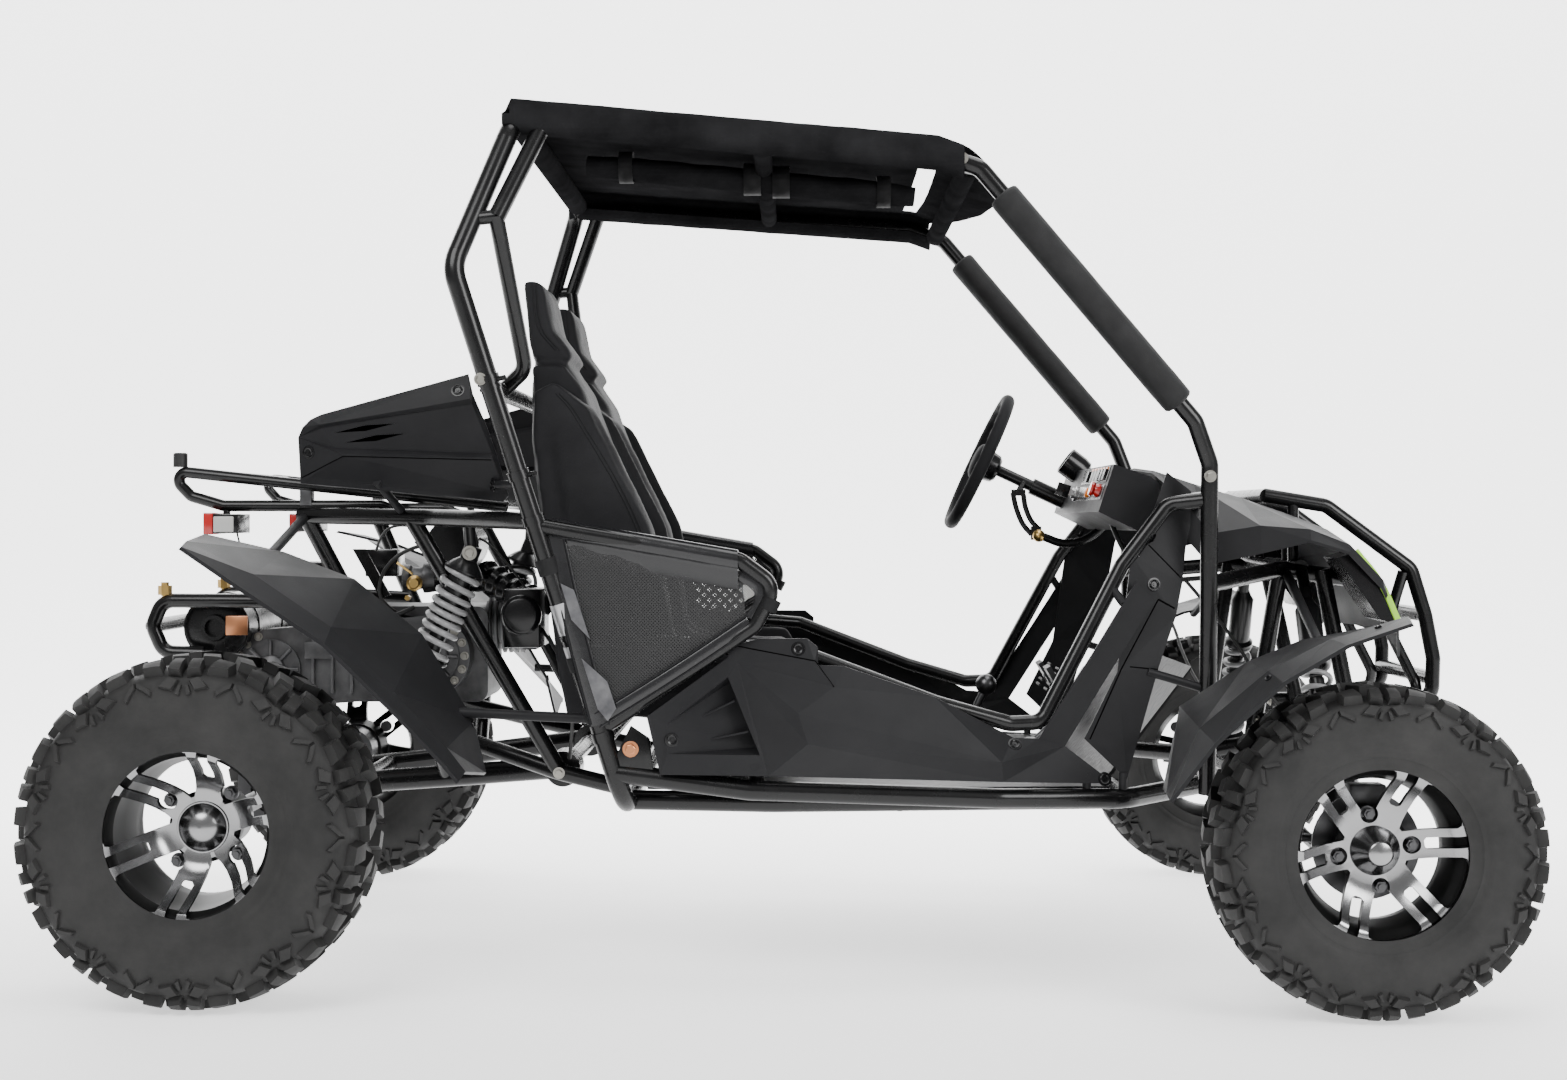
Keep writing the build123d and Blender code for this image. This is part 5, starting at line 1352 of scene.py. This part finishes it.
# Cables: name, diameter in millimetres, and the points from one end in the buggy to the other
CABLES = [
    ("throttle_cable", 5, [
        (-585, -92, 668), (-600, -118, 712), (-650, -130, 738), (-700, -120, 728), (-720, -60, 690),
    ]),
    ("choke_cable", 4, [
        (-600, -90, 676), (-570, -150, 720), (-510, -190, 716), (-455, -220, 660), (-430, -240, 628),
    ]),
    ("fuel_hose", 7, [
        (-598, -60, 578), (-640, -100, 560), (-700, -160, 600), (-690, -165, 660), (-640, -150, 700),
        (-590, -150, 704),
    ]),
    ("ignition_lead", 7, [
        (-440, -40, 608), (-425, -80, 640), (-450, -130, 668), (-500, -150, 655),
    ]),
    ("rear_loom", 6, [
        (-395, -300, 560), (-340, -380, 500), (-330, -400, 420), (-345, -330, 345),
    ]),
    ("breather_hose", 8, [
        (-640, -130, 590), (-700, -160, 560), (-740, -165, 610), (-800, -150, 640), (-850, -110, 660),
    ]),
    ("lamp_wire_right", 3, [
        (-912, -300, 724), (-906, -300, 690), (-880, -290, 668), (-860, -240, 655), (-850, -62, 655),
    ]),
    ("lamp_wire_left", 3, [
        (-912, 300, 724), (-906, 300, 690), (-880, 290, 668), (-860, 240, 655), (-850, 68, 655),
    ]),
    ("dash_loom", 9, [
        (580, -120, 760), (600, -160, 690), (640, -190, 640), (700, -200, 640), (800, -215, 652),
    ]),
    ("brake_hose_right", 6, [
        (700, -230, 640), (760, -300, 560), (800, -380, 470), (850, -450, 400), (880, -520, 350),
    ]),
    ("brake_hose_left", 6, [
        (700, 230, 640), (760, 300, 560), (800, 380, 470), (850, 450, 400), (880, 520, 350),
    ]),
]


def cables():
    """Thin control cables, hoses and wires, each from the buggy back into it."""
    for name, diameter, points in CABLES:
        data = bpy.data.curves.new(name, "CURVE")
        data.dimensions = "3D"
        data.bevel_depth = diameter / 2 * MM
        data.bevel_resolution = 3
        data.resolution_u = 16
        spline = data.splines.new("NURBS")
        spline.points.add(len(points) - 1)
        for point, spot in zip(spline.points, points):
            point.co = (*at(*spot), 1)
        spline.order_u = 3
        spline.use_endpoint_u = True
        obj = bpy.data.objects.new(name, data)
        bpy.context.scene.collection.objects.link(obj)
        data.materials.append(MATS["hose"])
        finish_piece(obj, "chassis", "intake_plastic")


def on_line(name, points, side, step=5.0, lift=0.2):
    """Points on a node's outer face along a line given in X and Z."""
    path = []
    for (x0, z0), (x1, z1) in zip(points, points[1:]):
        count = max(int(math.hypot(x1 - x0, z1 - z0) / step), 1)
        for k in range(count + 1):
            share = k / count
            start = at(x0 + (x1 - x0) * share, side * 900, z0 + (z1 - z0) * share)
            hit, place, normal, _ = NODES[name].ray_cast(start, Vector((0, -side, 0)))
            if hit and (not path or (place - path[-1]).length > 1 * MM):
                path.append(place + normal * lift * MM)
    return path


# Dark lines on the panels, from a node, points in X and Z and a width in millimetres: real joints, and
# painted shade along recess edges
SEAM_AND_SHADE_LINES = [
    ("cowl_sides", [(597, 711), (668, 640)], 1.6),
    ("cowl_sides", [(619, 616), (655, 596)], 2.0),
    ("cowl_sides", [(619, 616), (556, 503), (506, 392)], 1.6),
    ("cowl_sides", [(571, 508), (622, 503)], 1.4),
    ("cowl_sides", [(655, 596), (628, 500)], 1.6),
    ("skirts", [(497, 394), (540, 326)], 1.6),
    ("skirts", [(-66, 548), (64, 523), (94, 482)], 1.4),
    ("rear_panels", [(-762, 812), (-690, 846), (-452, 840)], 1.2),
]


def panel_lines():
    """Dark joint lines pressed into the moulded panels, and painted shade lines along their recess edges."""
    lines = []
    for side in (-1, 1):
        for name, points, width in SEAM_AND_SHADE_LINES:
            path = on_line(name, points, side)
            if len(path) > 2:
                lines.append(tube(path, width * MM / 1.4, 8, flat=0.35, up=(0, 1, 0)))
    make("panel_seam_and_shade_lines", "body_plastic", "joint", lines)


WHEEL_TILT = math.radians(25)
STEER_CENTRE = at(385, 245, 856)
STEER_AXIS = Vector((math.cos(WHEEL_TILT), 0, -math.sin(WHEEL_TILT)))
STEER_UP = Vector((math.sin(WHEEL_TILT), 0, math.cos(WHEEL_TILT)))


def hand_wheel():
    """The steering wheel: a grip with finger bumps, three open spokes, a hub with a plain pad, the shaft."""
    across = Vector((0, 1, 0))

    def spot(turn, radius, depth=0.0):
        return (STEER_CENTRE + (across * math.cos(turn) + STEER_UP * math.sin(turn)) * radius * MM
                + STEER_AXIS * depth * MM)

    verts = []
    rounds, sides = 120, 16
    for turn in angles(rounds):
        out = (spot(turn, 1) - STEER_CENTRE).normalized()
        swell = 0.5 * math.cos(turn * 24) if math.sin(turn) > -0.2 else 0
        for around in angles(sides):
            thick = 12.4 - (0.9 + swell if math.cos(around) < 0 else 0.0)
            way = out * math.cos(around) + STEER_AXIS * math.sin(around)
            verts.append(spot(turn, 128) + way * thick * MM)
    grip = (verts, quads(rounds, sides, ring=True, loop=True))
    make("wheel_grip", "wheel_grip", "vinyl", [grip], ["steering_wheel"], smooth=60, body="hand_wheel")
    spokes = []
    for angle in (0, 180, 270):
        turn = math.radians(angle)
        side_way = (spot(turn + math.pi / 2, 1) - STEER_CENTRE).normalized()
        a, b = spot(turn, 26, 12), spot(turn, 120, 2)
        narrow, wide = 0.72, 5
        for shift in (-13, 13):
            inner = [a + side_way * (shift + edge) * MM for edge in (-wide, wide)]
            spokes.append(plate_between(*inner, b + side_way * (shift * narrow + wide) * MM, 3.2 * MM))
        for radius in (36, 66, 92, 114):
            depth = 12 - 10 * (radius - 26) / 94
            a = spot(turn, radius - 6, depth + 0.6) - side_way * 14 * MM
            b = spot(turn, radius + 6, depth - 0.6) - side_way * 14 * MM
            spokes.append(plate_between(a, b, b + side_way * 28 * MM, 3.0 * MM))
    hub_rows = [(6, 10), (6, 38), (10, 40), (15, 40), (18, 30), (34, 27), (40, 20), (40, 8)]
    pad_rows = [(6.5, 40), (0, 38), (-8, 33), (-12, 26), (-14, 12), (-14.5, 1)]
    spokes.append(stacked(STEER_CENTRE, STEER_AXIS, hub_rows, 36))
    spokes.append(rod(STEER_CENTRE + STEER_AXIS * 0.03, STEER_CENTRE + STEER_AXIS * 0.25, 10.9 * MM, 32))
    make("wheel_spokes", "wheel_grip", "paint", spokes, bevel=0.6, body="hand_wheel")
    pad = stacked(STEER_CENTRE, STEER_AXIS, pad_rows, 36)
    make("wheel_pad", "wheel_grip", "vinyl", [pad], smooth=60, body="hand_wheel")


def dash_parts():
    """The gauge pod, switches, key, gear handle and knobs on the dash."""
    pod_axis = Vector((-0.8, 0, 0.6))
    pod = at(572, 190, 836)
    make("gauge_pod", "body_plastic", "gloss",
         [stacked(pod, pod_axis, [(-14, 14), (-8, 24), (6, 27), (34, 27), (36, 25), (36, 23), (33, 22)], 40),
          stacked(at(600, 190, 822), (0, 0, 1), [(-8, 16), (16, 12), (16, 4)], 20)])
    make("gauge_face", "body_plastic", "white", [stacked(pod, pod_axis, [(30, 21), (33.4, 21)], 40)])
    face_low, face_high = at(538, 0, 758), at(564, 0, 837)
    across, up = Vector((0, 1, 0)), (face_high - face_low).normalized()
    lift = up.cross(across)

    def on_face(y, share):
        return face_low.lerp(face_high, share) + at(0, y, 0)

    def switch(y, share, wide, tall, deep):
        corner = on_face(y, share) - across * wide / 2 * MM - up * tall / 2 * MM
        verts = []
        for depth in (0, deep):
            for u, v in ((0, 0), (wide, 0), (wide, tall), (0, tall)):
                verts.append(corner + across * u * MM + up * v * MM + lift * depth * MM)
        return verts, [(0, 3, 2, 1), (4, 5, 6, 7)] + quads(2, 4, ring=True)

    base = [switch(-140, 0.8, 330, 28, 1.5), switch(-140, 0.42, 330, 26, 1.5)]
    rockers = [switch(y, 0.78, 24, 20, 6) for y in (-280, -244, -208, -60)]
    whites = [switch(y, 0.8, 26, 22, 3) for y in (-172, -136, -100)]
    marks = [switch(y, 0.92, 22, 4, 3.6) for y in (-280, -244, -208, -172, -136, -100)]
    make("dash_plates", "body_plastic", "gloss", base + rockers, bevel=0.8)
    make("dash_lamps_white", "body_plastic", "white", whites, bevel=0.8)
    make("dash_lamps_orange", "body_plastic", "orange",
         marks + [stacked(on_face(-120, 0.42), lift, [(0, 9), (5, 9), (7, 7), (7, 2)], 20)])
    make("dash_lamps_red", "body_plastic", "red",
         [stacked(on_face(-262, 0.44), lift, [(0, 12), (4, 12), (10, 10), (14, 13), (18, 12), (18, 3)], 24)])
    key = [stacked(on_face(60, 0.42), lift, [(0, 14), (4, 14), (5, 10), (9, 10), (9, 3)], 24)]
    blade = switch(60, 0.42, 3, 12, 26)
    bow = switch(60, 0.42, 4, 24, 38)
    make("ignition_key", "body_plastic", "bright", key + [blade])
    make("ignition_bow", "body_plastic", "gloss",
         [([v + lift * 14 * MM for v in bow[0][:4]] + bow[0][4:], bow[1])], bevel=1)

    rails = [
        [(446, 796), (452, 768), (464, 738), (482, 716)],
        [(466, 792), (470, 768), (480, 744), (494, 728)],
    ]
    gate = [tube(line([at(x, 208, z) for x, z in points], 8), 5.0 * MM, 8, flat=0.4, up=(0, 1, 0))
            for points in rails]
    gate += [block(at(443, 205, 790), at(470, 211, 802)), block(at(480, 205, 706), at(500, 211, 732)),
             rod(at(456, 208, 796), at(470, 240, 816), 6 * MM)]
    make("gear_gate", "frame_paint", "paint", gate)
    run = [(503, 196, 712), (540, 196, 700), (580, 196, 706), (618, 196, 734), (640, 198, 764)]
    lever = line([at(*spot) for spot in run], 8)
    make("gear_rod", "frame_paint", "paint", [tube(lever, 8 * MM, 16, up=(0, 1, 0))])
    rows = [(-12 * math.cos(math.pi * k / 12), max(12 * math.sin(math.pi * k / 12), 0.4)) for k in range(13)]
    make("gear_ball", "frame_paint", "brass", [stacked(at(494, 196, 714), (1, 0, -0.3), rows, 24)],
         smooth=60)


def lamps():
    """Lens, reflector bowls and the lime edge of each front lamp."""
    edge = [(955, 694), (996, 641), (1028, 570)]
    bowl = [(0.8, 1), (2.0, 1), (1.0, 0.8), (0.2, 0.4), (2.4, 0.35), (2.8, 0.1)]
    top, fold, foot = at(952, 0, 689), at(991, 0, 641), at(1022, 0, 574)
    limes, lenses, bowls, rims = [], [], [], []
    for side in (-1, 1):
        outer = line([at(x, side * 367.5, z) for x, z in edge])
        limes.append(tube(outer, 5.2 * MM, 8, flat=0.45, up=(0, 1, 0)))
        rims.append(tube(line([at(x, side * 263, z) for x, z in edge]), 4 * MM, 8, up=(0, 1, 0)))
        rows, cols = 14, 12
        verts = []
        for i in range(rows + 1):
            share = i / rows
            base = top.lerp(fold, share * 2) if share < 0.5 else fold.lerp(foot, share * 2 - 1)
            for j in range(cols + 1):
                t = j / cols
                lift = 0
                if 0 < share < 1:
                    lift = 7 * math.sin(math.pi * share) ** 0.5 * math.sin(math.pi * t) ** 0.4
                verts.append(base + at(0.85 * lift + 0.6, side * (264 + 100 * t), 0.5 * lift + 0.6))
        lenses.append((verts, quads(rows + 1, cols + 1)))
        for x, z, r in ((972, 662, 22), (1003, 608, 20)):
            for y in (290, 336):
                profile = [(height, r * share) for height, share in bowl]
                bowls.append(stacked(at(x, side * y, z), (0.82, 0, 0.57), profile))
    make("lamp_lime_edges", "lamp_plastic", "lime", limes)
    make("lamp_bowls", "lamp_plastic", "mirror", bowls)
    make("lamp_rims", "lamp_plastic", "gloss", rims)
    lens = new_mesh("lamp_lenses", *joined(lenses), [MATS["glass"]], sharp=60)
    thickened(lens, 1)
    soften(lens, 60)
    finish_piece(lens, "chassis", "lamp_plastic")


def chassis_parts():
    """Pedal rubbers, weld beads, pivot bolts, the lower arms' tabs and the front brakes."""
    tilt = math.radians(30)
    up, out = Vector((math.sin(tilt), 0, math.cos(tilt))), Vector((-math.cos(tilt), 0, math.sin(tilt)))
    rubbers = []
    for y in (160, 300):
        for k in range(-2, 3):
            place = at(520, y, 442.3) + up * k * 11 * MM + out * 5.5 * MM
            rubbers.append(rod(place + at(0, -27, 0), place + at(0, 27, 0), 2.6 * MM, 10))
    make("pedal_rubbers", "frame_paint", "hose", rubbers)
    beads = [band(leg_at(z), LEG_AXIS, radius * MM, 5 * MM, 1.2 * MM, 24)
             for z, radius in ((742, 17), (560, 16.5), (950, 16.5), (398, 16.5))]
    make("weld_beads", "frame_paint", "paint", beads, both=True)
    bolts = []
    for side in (-1, 1):
        for x in (842, 958):
            for y, z in ((215, 262), (235, 400)):
                for way in (1, -1):
                    bolts.append(hex_bolt(at(x + 19 * way, side * y, z), (way, 0, 0), 7, 6))
        for x, y, z, size, head in ((-361, 290, 322, 9, 7), (-500, 418, 690, 8, 6), (-584, 418, 484, 8, 6)):
            bolts.append(hex_bolt(at(x, side * y, z), (0, side, 0), size, head))
    make("pivot_bolts", "frame_paint", "zinc", bolts)
    tabs = []
    for x, y, z in ((842, 197, 311), (958, 181, 333)):
        for start in (x - 16, x + 19):
            plate = plate_between(at(start, y - 13, z), at(start, y + 13, z), at(start, 229, 252), 3 * MM)
            tabs.append(plate)
    make("lower_arm_tabs", "frame_paint", "paint", tabs, both=True)
    for side, name in ((1, "left"), (-1, "right")):
        disc = stacked(at(900, side * 655, 250), (0, side, 0), [(-2, 30), (-2, 82), (2, 82), (2, 30)], 48)
        make("front_disc_" + name, "rim_alloy", "steel", [disc], body="front_wheel_" + name)
        caliper = side_block(side, (872, 928), (632, 672), (312, 344))
        make("front_caliper_" + name, "axle_steel", "cast", [caliper], bevel=4, body="front_knuckle_" + name)


def soft_edges():
    """A small radius on the moulded panels' edges and ridges."""
    for name in NODE_MATERIALS["plastic"] + ["headlamps"]:
        edge = NODES[name].modifiers.new("edge", "BEVEL")
        edge.width = 1.4 * MM
        edge.segments = 2
        edge.limit_method = "ANGLE"
        edge.angle_limit = math.radians(14)
        edge.harden_normals = False


dress_nodes()
studio()
cables()
seats()
canopy()
foam_sleeves()
nets()
wheels()
fasteners()
shocks()
rack_parts()
engine_parts()
panel_lines()
hand_wheel()
dash_parts()
lamps()
chassis_parts()
soft_edges()
